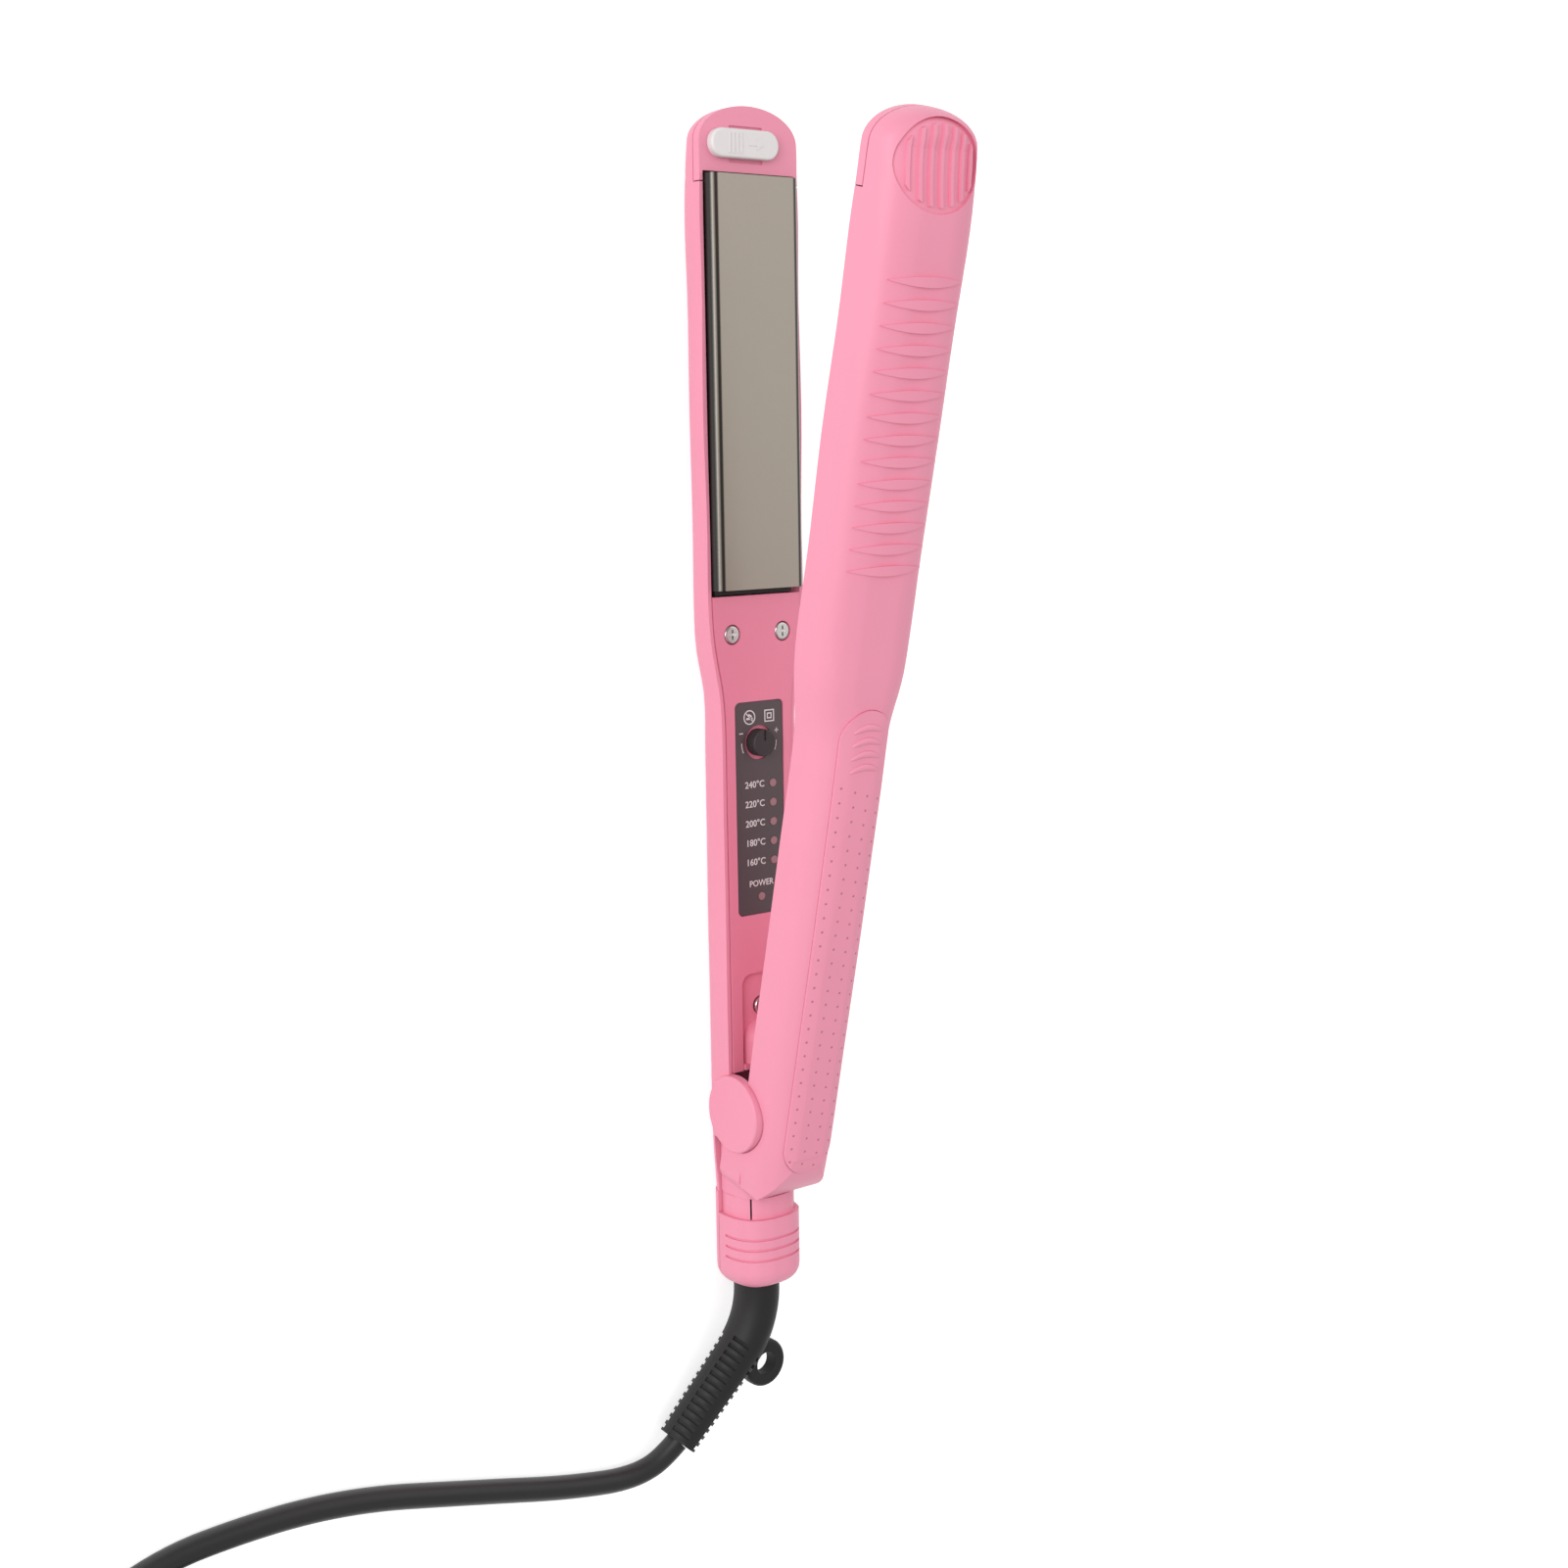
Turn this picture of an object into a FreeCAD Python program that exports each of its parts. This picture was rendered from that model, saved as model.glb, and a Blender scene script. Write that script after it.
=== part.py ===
"""Flat-plate hair straightener: two hinged arms with floating heated plates, a tip lock,
a temperature dial and a swivelling mains cord.

Millimetres, +Z up. The lower arm lies on its back along X with its tip towards +X.
The hinge axis runs along Y. The upper arm is a mirrored copy, turned open about the hinge.
Arm pieces are modelled on the lower arm; to_upper() carries a piece to the upper arm.
"""
import FreeCAD
import Part
import math
import os
from FreeCAD import Vector

os.makedirs("parts", exist_ok=True)

# ---- arm lengths along X ----
plate_length = 100.0
plate_to_hinge = 132.6
plate_to_tip = 16.4
hinge_to_rear = 48.4
open_angle = 12.9

# ---- arm section: half widths, depth below the rim, roundness of the superellipse ----
tip_half_width = 14.9
nose_length = 8.5
tip_depth = 10.4
plate_half_width = 15.1
shoulder_half_width = 14.6
handle_half_width = 11.5
neck_half_width = 10.6
full_depth = 14.1
handle_depth = 13.7
waist_depth = 11.6
section_power = 3.2
handle_power = 2.9
wall = 1.8
rim_lip = 1.0
seam = 0.3

# ---- heated plates and what carries them ----
plate_proud = 2.75
closed_gap = 0.3
plate_flat_half = 11.5
plate_edge_radius = 2.2
plate_thickness = 2.6
plate_float = 1.0
heater_length = 80.0
heater_width = 14.0
heater_thickness = 2.0
clamp_thickness = 0.8
carrier_half_width = 12.1
carrier_wall = 1.2
carrier_overhang = 1.3
carrier_depth = 6.25
carrier_drop = 1.0
spring_pocket_radius = 4.0
spring_radius = 3.0
spring_wire = 0.5
pad_pitch = 44.0
boss_pitch = 38.0

# ---- tip cap and lock ----
cap_skirt = 2.35
cap_wall = 1.6
cap_gap = 0.6
cap_side_step = 2.3
lock_length = 20.4
lock_width = 6.9
lock_height = 2.3
lock_offset = 2.4
lock_travel = 3.2
lock_from_plate = 7.2
lock_undercut = 1.3
lock_neck_length = 6.0
lock_neck_width = 4.0
lock_slot_gap = 0.15
lock_recess_depth = 0.5
lock_recess_margin = 0.9
hook_inner = 3.0
hook_outer = 0.4
hook_thickness = 1.2
hook_toe = 0.8

# ---- handle cover, control label, dial, lamps, board ----
cover_thickness = 2.4
cover_front_gap = 1.6
cover_to_hinge = 9.8
cover_crown = 0.35
trough_depth = 1.2
trough_length = 25.0
trough_half_width = 7.0
label_length = 54.3
label_width = 15.2
label_corner = 1.5
label_thickness = 0.5
label_from_plate = 28.3
dial_radius = 3.45
dial_height = 2.3
dial_stem_radius = 1.5
dial_well_radius = 4.4
dial_from_plate = 38.7
lamp_radius = 1.0
lamp_pitch = 4.96
lamp_count = 5
lamp_from_plate = 49.4
lamp_offset = 4.18
power_lamp_from_plate = 78.2
board_length = 70.0
board_half_width = 7.4
board_thickness = 1.6
board_drop = 6.0
board_from_plate = 26.0

# ---- screws ----
screw_head_radius = 2.3
screw_head_height = 1.3
screw_shank_radius = 1.1
screw_fit = 0.01
screw_boss_radius = 2.8
carrier_screw_length = 4.5
cover_screw_length = 4.4
pilot_spare = 0.5
front_screw_from_plate = 11.1
front_screw_offset = 7.93
rear_screw_from_hinge = 25.8

# ---- hinge ----
pin_radius = 2.0
pin_clearance = 0.05
ear_radius = 9.9
ear_thickness = 1.6
hinge_cap_thickness = 0.85
ear_inner = 10.7
lug_radius = 8.4
lug_inner = 8.9
lug_outer = 10.45
bush_radius = 3.5
running_gap = 0.3
spring_coil_radius = 3.2
spring_coil_wire = 0.55
spring_coil_half = 4.0
spring_leg = 13.0
spring_leg_angle = 20.0
upper_rear_radius = 16.6
upper_rear_offset = 7.0
upper_lobe_reach = 4.35
upper_rear_corner = 8.5

# ---- rear housing and swivel ----
rear_length = 24.0
rear_half_width = 10.2
rear_half_height = 10.0
rear_power = 2.5
rear_seam_z = 6.4
rear_round = 4.5
neck_top = 1.2
neck_cover_half = 8.8
neck_wall = 1.6
collar_start = 4.9
collar_step = 1.2
groove_start = 9.8
groove_pitch = 2.8
groove_width = 0.7
groove_depth = 0.5
end_wall = 3.0
swivel_z = 9.0
swivel_cavity_radius = 7.3
swivel_flange_radius = 7.0
swivel_body_radius = 5.0
swivel_body_length = 10.0
contact_ring_radius = 5.6
contact_ring_width = 2.0

# ---- strain relief ----
relief_radius = 6.0
relief_end_radius = 5.3
relief_hole_radius = 3.05
relief_slots = 15
relief_slot_width = 1.1
relief_slot_length = 5.2
relief_slot_depth = 1.9
relief_slot_pitch = 2.1
loop_hole_radius = 3.1
loop_outer_radius = 6.4
loop_along = 7.4
loop_out = 9.2
loop_thickness = 4.0

# ---- cord ----
cord_diameter = 6.0
coil_mean_radius = 31.0
coil_turn_columns = 3
coil_turn_layers = 3
plug_length = 32.0
plug_half_width = 17.0
plug_height = 14.0
plug_corner = 6.0
plug_sleeve_length = 12.0
plug_pin_radius = 2.0
plug_pin_length = 19.0
plug_pin_spacing = 18.6
plug_pin_root_radius = 1.5
plug_pin_root_length = 6.0

# ---- grip panels and ribs ----
panel_proud = 0.4
panel_sink = 0.8
panel_half_width = 7.4
panel_from_plate = 20.8
panel_to_hinge = 11.5
rib_count = 14
rib_pitch = 5.1
rib_half_width = 11.2
rib_half_length = 1.2
rib_height = 0.8
rib_crown = 34.0
rib_from_tip = 20.6
pad_half_length = 10.3
pad_half_width = 12.5
pad_depth = 0.7
pad_from_tip = 12.0
pad_margin = 1.4
pad_rib_count = 7
pad_rib_spacing = 3.1
pad_rib_half_width = 0.45
pad_rib_bend = 45.0

# ---- places worked out from the sizes above ----
tip_x = (plate_length + plate_to_tip + plate_to_hinge + hinge_to_rear) / 2
plate_x1 = tip_x - plate_to_tip
plate_x0 = plate_x1 - plate_length
hinge_x = plate_x0 - plate_to_hinge
rear_x1 = hinge_x - hinge_to_rear
rear_x0 = rear_x1 + rear_length
tip_arc_x = tip_x - nose_length
pad_x = tip_x - pad_from_tip
rim_z = full_depth
plate_z = rim_z + plate_proud
hinge_z = plate_z + closed_gap / 2
cover_top = rim_z + cover_crown
cover_bottom = rim_z - cover_thickness
carrier_floor_top = rim_z - carrier_depth + carrier_wall
hinge_point = Vector(hinge_x, 0, hinge_z)


def to_upper(shape):
    """Mirror a lower-arm shape in the closing plane and turn it open about the hinge."""
    turned = shape.mirror(hinge_point, Vector(0, 0, 1))
    turned.rotate(hinge_point, Vector(0, 1, 0), -open_angle)
    return turned


def box(x0, x1, y0, y1, z0, z1):
    return Part.makeBox(x1 - x0, y1 - y0, z1 - z0, Vector(x0, y0, z0))


def rod(x, y, z0, z1, radius):
    return Part.makeCylinder(radius, z1 - z0, Vector(x, y, z0))


def cross_rod(x, z, y0, y1, radius):
    return Part.makeCylinder(radius, y1 - y0, Vector(x, y0, z), Vector(0, 1, 0))


def long_rod(x0, x1, y, z, radius):
    return Part.makeCylinder(radius, x1 - x0, Vector(x0, y, z), Vector(1, 0, 0))


def group(shapes):
    return Part.makeCompound(shapes)


def joined(shapes):
    """Fuse touching shapes into one clean solid."""
    whole = shapes[0].fuse(shapes[1:]) if len(shapes) > 1 else shapes[0]
    whole = whole.removeSplitter()
    return whole.Solids[0] if len(whole.Solids) == 1 else whole


def largest(shape):
    return max(shape.Solids, key=lambda solid: solid.Volume)


def stations(grow=0.0):
    """Arm sections from rear to tip: x, half width, depth, roundness."""
    shape = [
        (rear_x0, neck_half_width - 0.3, handle_depth, handle_power),
        (rear_x0 + 9, neck_half_width + 0.4, handle_depth, handle_power),
        (hinge_x - 5, handle_half_width, handle_depth, handle_power),
        (hinge_x + 13, handle_half_width, handle_depth, handle_power),
        (hinge_x + 38, handle_half_width, handle_depth, handle_power),
        (plate_x0 - 70, handle_half_width, handle_depth - 0.1, handle_power),
        (plate_x0 - 48, handle_half_width, handle_depth - 0.3, handle_power),
        (plate_x0 - 34, handle_half_width, handle_depth - 0.6, handle_power),
        (plate_x0 - 24.5, handle_half_width + 0.75, handle_depth - 0.9, handle_power),
        (plate_x0 - 17, shoulder_half_width - 0.9, waist_depth + 1.0, section_power),
        (plate_x0 - 9, shoulder_half_width + 0.1, waist_depth + 0.7, section_power),
        (plate_x0 + 5, plate_half_width - 0.15, waist_depth + 0.3, section_power),
        (plate_x0 + 30, plate_half_width, waist_depth, section_power),
        (plate_x1 - 40, plate_half_width, waist_depth, section_power),
        (plate_x1 - 17, plate_half_width, waist_depth + 0.5, section_power),
        (plate_x1 - 4, plate_half_width - 0.05, waist_depth + 0.3, section_power),
        (plate_x1 + 2.5, tip_half_width + 0.05, tip_depth + 0.9, section_power),
        (tip_arc_x, tip_half_width, tip_depth, section_power),
    ]
    return [(x, half + grow, depth + grow, power) for x, half, depth, power in shape]


def half_curve(x, half, depth, power, side):
    """Quarter superellipse from the rim down to the middle of the back."""
    points = []
    steps = 5
    for i in range(steps + 1):
        angle = math.pi / 2 * i / steps
        y = half * math.cos(angle) ** (2 / power) if i < steps else 0.0
        z = depth * math.sin(angle) ** (2 / power) if i else 0.0
        points.append(Vector(x, side * y, rim_z - z))
    curve = Part.BSplineCurve()
    curve.interpolate(Points=points, InitialTangent=Vector(0, 0, -1),
                      FinalTangent=Vector(0, -side, 0))
    return curve


def arm_wire(x, half, depth, power, rise):
    right = half_curve(x, half, depth, power, 1).toShape()
    left_curve = half_curve(x, half, depth, power, -1)
    left_curve.reverse()
    left = left_curve.toShape()
    top_right = Vector(x, half, rim_z + rise)
    top_left = Vector(x, -half, rim_z + rise)
    edges = [right, left]
    if rise:
        edges.append(Part.makeLine(Vector(x, -half, rim_z), top_left))
        edges.append(Part.makeLine(top_left, top_right))
        edges.append(Part.makeLine(top_right, Vector(x, half, rim_z)))
    else:
        edges.append(Part.makeLine(top_left, top_right))
    return Part.Wire(edges)


def squeezed(shape, centre_x, factor):
    """Shape scaled along X about an upright plane at centre_x."""
    matrix = FreeCAD.Matrix()
    matrix.A11 = factor
    matrix.A14 = centre_x * (1 - factor)
    return shape.transformGeometry(matrix)


def tip_end(half, depth, power, rise, reach):
    """Round end of the arm: the last section turned about an upright axis, then squeezed."""
    curve = half_curve(tip_arc_x, half, depth, power, 1).toShape()
    low = Vector(tip_arc_x, 0, rim_z - depth)
    top = Vector(tip_arc_x, 0, rim_z + rise)
    edges = [curve, Part.makeLine(low, top)]
    corner = Vector(tip_arc_x, half, rim_z)
    if rise:
        upper = Vector(tip_arc_x, half, rim_z + rise)
        edges += [Part.makeLine(top, upper), Part.makeLine(upper, corner)]
    else:
        edges.append(Part.makeLine(top, corner))
    face = Part.Face(Part.Wire(Part.__sortEdges__(edges)))
    turned = face.revolve(Vector(tip_arc_x, 0, 0), Vector(0, 0, 1), -180)
    return squeezed(turned, tip_arc_x, reach / half)


def arm_body(grow=0.0, rise=0.0):
    """Solid of the whole arm from the rear housing to the tip, grown or shrunk all round."""
    rows = stations(grow)
    loft = Part.makeLoft([arm_wire(*row, rise) for row in rows], True, False, False, 3)
    end = tip_end(*rows[-1][1:], rise, nose_length + grow)
    return joined([loft, end])


def plan_prism(inset, z0, z1):
    """Upright prism over the arm's outline, drawn in by inset."""
    rows = stations(-inset)
    right = [Vector(x, half, z0) for x, half, _, _ in rows]
    left = [Vector(x, -half, z0) for x, half, _, _ in reversed(rows)]
    right_curve = Part.BSplineCurve()
    right_curve.interpolate(right)
    left_curve = Part.BSplineCurve()
    left_curve.interpolate(left)
    half = tip_half_width - inset
    arc = Part.Arc(right[-1], Vector(tip_arc_x + half, 0, z0), left[0]).toShape()
    nose = squeezed(arc, tip_arc_x, (nose_length - inset) / half)
    back = Part.makeLine(left[-1], right[0])
    wire = Part.Wire([right_curve.toShape(), nose, left_curve.toShape(), back])
    return Part.Face(wire).extrude(Vector(0, 0, z1 - z0))


def stadium(x, y, z0, z1, length, width):
    """Slot-shaped block with its long side along Y."""
    reach = (length - width) / 2
    middle = box(x - width / 2, x + width / 2, y - reach, y + reach, z0, z1)
    ends = [rod(x, y + side * reach, z0, z1, width / 2) for side in (-1, 1)]
    return joined([middle] + ends)


def tapped_boss(x, y, z0, z1):
    return rod(x, y, z0, z1, screw_boss_radius)


def pan_screw(x, y, head_bottom, length):
    """Pan-head screw standing upright with a cross recess in its head."""
    head = rod(x, y, head_bottom, head_bottom + screw_head_height, screw_head_radius)
    rim = [edge for edge in head.Edges if abs(edge.BoundBox.ZMin - head.BoundBox.ZMax) < 1e-4]
    head = head.makeFillet(0.5, rim)
    shank = rod(x, y, head_bottom - length, head_bottom, screw_shank_radius)
    top = head_bottom + screw_head_height
    arm, half = 1.3, 0.28
    recess = joined([box(x - arm, x + arm, y - half, y + half, top - 0.8, top + 1),
                     box(x - half, x + half, y - arm, y + arm, top - 0.8, top + 1)])
    return joined([head, shank]).cut(recess)


# ---- shapes that both arms share ----
outer_body = arm_body()
inner_body = arm_body(-wall, 6.0)
cover_prism = plan_prism(rim_lip, cover_bottom, rim_z + 8)
skirt_z = rim_z - cap_skirt
cap_x = plate_x1 + cap_gap
boss_xs = [(plate_x0 + plate_x1) / 2 + side * boss_pitch for side in (-1, 0, 1)]
pad_xs = [(plate_x0 + plate_x1) / 2 + side * pad_pitch / 2 for side in (-1, 1)]
cover_x0 = hinge_x + cover_to_hinge
cover_x1 = plate_x0 - cover_front_gap
screw_xy = [(plate_x0 - front_screw_from_plate, front_screw_offset),
            (plate_x0 - front_screw_from_plate, -front_screw_offset),
            (hinge_x + rear_screw_from_hinge, 0.0)]
board_z = cover_bottom - board_drop


def cap_zone(margin):
    """Room that the tip cap takes out of the shell."""
    top = box(cap_x - margin, tip_x + 5, -20, 20, skirt_z - margin, rim_z + 5)
    step_x = cap_x - cap_side_step - margin
    inner = plate_flat_half + plate_edge_radius + running_gap - margin
    sides = [box(step_x, cap_x + 1, inner, 20, skirt_z - margin, rim_z + 5),
             box(step_x, cap_x + 1, -20, -inner, skirt_z - margin, rim_z + 5)]
    return joined([top] + sides)


def pad_outline(inset, z0, z1):
    """Oval prism over the thumb dish, drawn in by inset."""
    half = pad_half_width - inset
    return squeezed(rod(pad_x, 0, z0, z1, half), pad_x, (pad_half_length - inset) / half)


def thumb_dish():
    """Oval dish in the back of the tip, less the curved ribs left standing in it."""
    low, high = -3, rim_z - cap_skirt - 1
    dish = pad_outline(0, low, high).cut(arm_body(-pad_depth))
    ribs = []
    for i in range(pad_rib_count):
        y = (i - (pad_rib_count - 1) / 2) * pad_rib_spacing - pad_rib_bend
        outer = rod(pad_x, y, low, high, pad_rib_bend + pad_rib_half_width)
        ribs.append(outer.cut(rod(pad_x, y, low, high, pad_rib_bend - pad_rib_half_width)))
    return dish.cut(group(ribs).common(pad_outline(pad_margin, low, high)))


def back_depth(x):
    """Depth of the back below the rim at x, read between the stations."""
    rows = stations()
    for before, after in zip(rows, rows[1:]):
        if before[0] <= x <= after[0]:
            share = (x - before[0]) / (after[0] - before[0])
            return before[2] + share * (after[2] - before[2])
    return full_depth


def back_ribs():
    """Lens-shaped ribs across the back of the arm behind the plates."""
    bulge = (rib_half_width ** 2 + rib_half_length ** 2) / (2 * rib_half_length)
    ribs = []
    for i in range(rib_count):
        x = plate_x1 - rib_from_tip - i * rib_pitch
        low = rim_z - back_depth(x) - rib_height
        front = rod(x + bulge - rib_half_length, 0, low - 1, low + 4, bulge)
        back = rod(x - bulge + rib_half_length, 0, low - 1, low + 4, bulge)
        crown = long_rod(x - 3, x + 3, 0, low + rib_crown, rib_crown)
        ribs.append(front.common(back).common(crown))
    return group(ribs).cut(inner_body).Solids


def panel_outline(grow, z0, z1):
    """Long grip panel: straight sides with rounded ends, as an upright prism."""
    half = panel_half_width + grow
    x0 = hinge_x - panel_to_hinge - grow
    x1 = plate_x0 - panel_from_plate + grow
    middle = box(x0 + half, x1 - half, -half, half, z0, z1)
    ends = [rod(x0 + half, 0, z0, z1, half), rod(x1 - half, 0, z0, z1, half)]
    return joined([middle] + ends)


def grip_panel():
    skin = arm_body(panel_proud + 0.15).cut(arm_body(-panel_sink))
    panel = panel_outline(0, -3, rim_z - 7).common(skin)
    return largest(panel.common(box(-400, 400, -30, 30, 0, rim_z)))


panel_recess = panel_outline(0.1, -3, rim_z - 7).cut(arm_body(-panel_sink - 0.12))


def shell_blank():
    """Open trough of one arm: back, side walls and tip, with bosses for carrier and cover."""
    body = outer_body.cut(inner_body)
    floor_lift = 1.7
    posts = [tapped_boss(x, 0, floor_lift, rim_z - carrier_depth - 0.05) for x in boss_xs]
    posts += [tapped_boss(x, y, floor_lift, cover_bottom - 0.05) for x, y in screw_xy]
    posts = group(posts).common(outer_body)
    body = body.fuse(posts.Solids)
    lid_room = cover_prism.common(box(cover_x0 - 0.2, cap_x, -20, 20, 0, 40))
    body = body.cut(group([lid_room, cap_zone(seam)]))
    carrier_low = carrier_floor_top - carrier_screw_length - pilot_spare
    pilots = [rod(x, 0, carrier_low, rim_z, screw_shank_radius + screw_fit) for x in boss_xs]
    pilots += [rod(x, y, screw_seat(x) - cover_screw_length - pilot_spare, rim_z,
                   screw_shank_radius + screw_fit) for x, y in screw_xy]
    body = body.cut(group(pilots))
    body = body.cut(panel_recess)
    body = body.cut(thumb_dish())
    return body.fuse(back_ribs())


def hinge_pair(y0, y1, radius):
    return [cross_rod(hinge_x, hinge_z, y0, y1, radius),
            cross_rod(hinge_x, hinge_z, -y1, -y0, radius)]


def superellipse_block(x0, x1, half, high, power, middle_z):
    """Rounded block along X with a superellipse section."""
    quarter = []
    steps = 6
    corners = []
    for turn in range(4):
        points = []
        for i in range(steps + 1):
            angle = math.pi / 2 * (turn + i / steps)
            c, s = math.cos(angle), math.sin(angle)
            y = half * math.copysign(abs(c) ** (2 / power), c) if abs(c) > 1e-9 else 0.0
            z = high * math.copysign(abs(s) ** (2 / power), s) if abs(s) > 1e-9 else 0.0
            points.append(Vector(x0, y, middle_z + z))
        corners.append(points)
    for turn, points in enumerate(corners):
        curve = Part.BSplineCurve()
        start = math.pi / 2 * turn
        first = Vector(0, -math.sin(start), math.cos(start))
        last = Vector(0, -math.cos(start), -math.sin(start))
        curve.interpolate(Points=points, InitialTangent=first, FinalTangent=last)
        quarter.append(curve.toShape())
    return Part.Face(Part.Wire(quarter)).extrude(Vector(x1 - x0, 0, 0))


def rear_block():
    """Outside of the rear housing, rounded where the cord leaves."""
    block = superellipse_block(rear_x1, rear_x0 + 0.6, rear_half_width, rear_half_height,
                               rear_power, rear_half_height)
    rim = [edge for edge in block.Edges if edge.BoundBox.XMax < rear_x1 + 0.01]
    return block.makeFillet(rear_round, rim)


rear_outside = rear_block()
rear_cavity = long_rod(rear_x1 + end_wall, rear_x0 + 3, 0, swivel_z, swivel_cavity_radius)
rear_mouth = long_rod(rear_x1 - 2, rear_x0, 0, swivel_z, relief_radius + 0.2)
rear_screw_x = rear_x0 - 3.6
bush_x = rear_x1 + end_wall + running_gap + 3.0 + running_gap


def lower_shell():
    body = shell_blank()
    behind = hinge_x - lug_radius
    body = body.cut(box(rear_x1 - 5, behind, -20, 20, rear_seam_z - seam, rim_z + 10))
    rear = rear_outside.common(box(rear_x1 - 5, rear_x0 + 1, -20, 20, -5, rear_seam_z - seam))
    rear = rear.cut(group([rear_cavity, rear_mouth]))
    ears = hinge_pair(ear_inner, ear_inner + ear_thickness, ear_radius)
    pocket = cross_rod(hinge_x, hinge_z, -ear_inner, ear_inner, lug_radius + running_gap)
    spring_rest = box(hinge_x + 8, hinge_x + 12, -spring_coil_half - 1.2,
                      -spring_coil_half + 1.2, 1.7, spring_leg_z(12) - 0.65)
    rear_post = rod(rear_screw_x, 0, 0.6, rear_seam_z - seam, screw_boss_radius)
    body = body.cut(pocket).fuse([rear, spring_rest, rear_post.common(rear_outside)] + ears)
    bores = cross_rod(hinge_x, hinge_z, -20, 20, pin_radius + 0.01)
    hole = rod(rear_screw_x, 0, -1, rear_seam_z + 1, screw_shank_radius + 0.1)
    head_room = rod(rear_screw_x, 0, -1, screw_head_height + 0.5, screw_head_radius + 0.2)
    slot_posts = [rod(x, 0, 2.0, board_z - 0.05, 2.0) for x in board_posts()]
    body = body.cut(group([bores, hole, head_room])).fuse(slot_posts)
    return largest(body.common(box(-400, 400, -30, 30, 0, 60)))


def board_posts():
    return [plate_x0 - board_from_plate - 6, plate_x0 - board_from_plate - board_length + 6]


def spring_leg_z(forward):
    """Height of the opening spring's lower leg at a distance ahead of the hinge."""
    lean = math.radians(spring_leg_angle)
    start_x = -spring_coil_radius * math.sin(lean)
    start_z = -spring_coil_radius * math.cos(lean)
    return hinge_z + start_z - (forward - start_x) * math.tan(lean)


upper_rear_x = hinge_x - upper_rear_offset


def upper_outline(inset):
    """Space that the upper arm keeps: its hinge end is rounded from the side and in plan."""
    rounding = cross_rod(upper_rear_x, hinge_z, -20, 20, upper_rear_radius - inset)
    half = handle_half_width + 0.05 - inset
    low_x = upper_rear_x - upper_rear_radius + inset
    plan = box(low_x, upper_rear_x + 8, -half, half, -5, 60)
    corners = [edge for edge in plan.Edges
               if edge.BoundBox.ZLength > 40 and edge.BoundBox.XMax < low_x + 1]
    plan = plan.makeFillet(upper_rear_corner - inset, corners)
    return joined([rounding.common(plan), box(upper_rear_x, tip_x + 5, -20, 20, -5, 40)])


def upper_shell():
    body = shell_blank()
    keep = upper_outline(0)
    lobe_top = hinge_z + upper_lobe_reach
    lobe_x1 = hinge_x - ear_radius - running_gap
    lobes = []
    for side in (-1, 1):
        y0, y1 = sorted((side * (handle_half_width - wall), side * (handle_half_width - 0.4)))
        lobe = box(rear_x0 - 1, lobe_x1, y0, y1, rim_z - 1, lobe_top)
        lobes.append(lobe.common(keep))
    end_room = box(rear_x0 - 2, upper_rear_x + 4, -20, 20, -5, rim_z)
    end_skin = outer_body.common(end_room).common(keep)
    end_skin = end_skin.cut(inner_body.common(upper_outline(wall)))
    body = body.common(keep).fuse([end_skin] + lobes).cut(panel_recess)
    cap_room = hinge_pair(lug_outer + 0.05, 20, ear_radius + running_gap)
    neck_room = box(rear_x0 - 5, hinge_x - 9.0, -neck_cover_half - 0.8, neck_cover_half + 0.8,
                    hinge_z - 7.0, 60)
    lugs = hinge_pair(lug_inner, lug_outer, lug_radius)
    spring_rest = box(hinge_x + 8, hinge_x + 12, spring_coil_half - 1.2,
                      spring_coil_half + 1.2, 1.7, spring_leg_z(12) - 0.65)
    body = body.cut(group(cap_room + [neck_room])).fuse(lugs + [spring_rest])
    body = body.cut(cross_rod(hinge_x, hinge_z, -20, 20, bush_radius + 0.01))
    return largest(body.common(box(-400, 400, -30, 30, 0, 60)))


def tip_cap():
    """Thin cap that closes the tip beyond the plate, without its lock details."""
    body = outer_body.common(cap_zone(0))
    hollow = arm_body(-cap_wall).common(box(cap_x + cap_wall, tip_x, -20, 20, -5, rim_z - cap_wall))
    side_room = plan_prism(rim_lip + 0.2, -5, 40).common(box(0, cap_x, -20, 20, -5, 40))
    return body.cut(group([hollow, side_room]))


lock_x = plate_x1 + lock_from_plate
lock_top = rim_z + lock_height


def lower_tip_cap():
    """Cap with the slot that guides the lock slider."""
    half_x = lock_neck_width / 2 + lock_slot_gap
    half_y = lock_neck_length / 2 + lock_slot_gap
    slot = box(lock_x - half_x, lock_x + half_x, lock_offset - half_y - lock_travel,
               lock_offset + half_y, 0, 40)
    recess_x = lock_width / 2 + lock_recess_margin
    recess = box(lock_x - recess_x, lock_x + recess_x, lock_offset - half_y - lock_travel - 0.3,
                 lock_offset + half_y + 0.3, rim_z - lock_recess_depth, rim_z + 2)
    return largest(tip_cap().cut(group([slot, recess])))


def upper_tip_cap():
    """Cap with the hooked post that the lock slider traps."""
    level = 2 * hinge_z - rim_z - 0.25
    post_y1 = lock_offset - lock_length / 2 - lock_travel - 0.3
    post_y0 = post_y1 - hook_thickness
    x0, x1 = lock_x - hook_inner, lock_x + hook_outer
    post = box(x0, x1, post_y0, post_y1, rim_z - cap_wall, level)
    toe = box(x0, x1, post_y0, post_y1 + lock_travel - 0.4, level - hook_toe, level)
    return largest(joined([tip_cap(), post, toe]))


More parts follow.
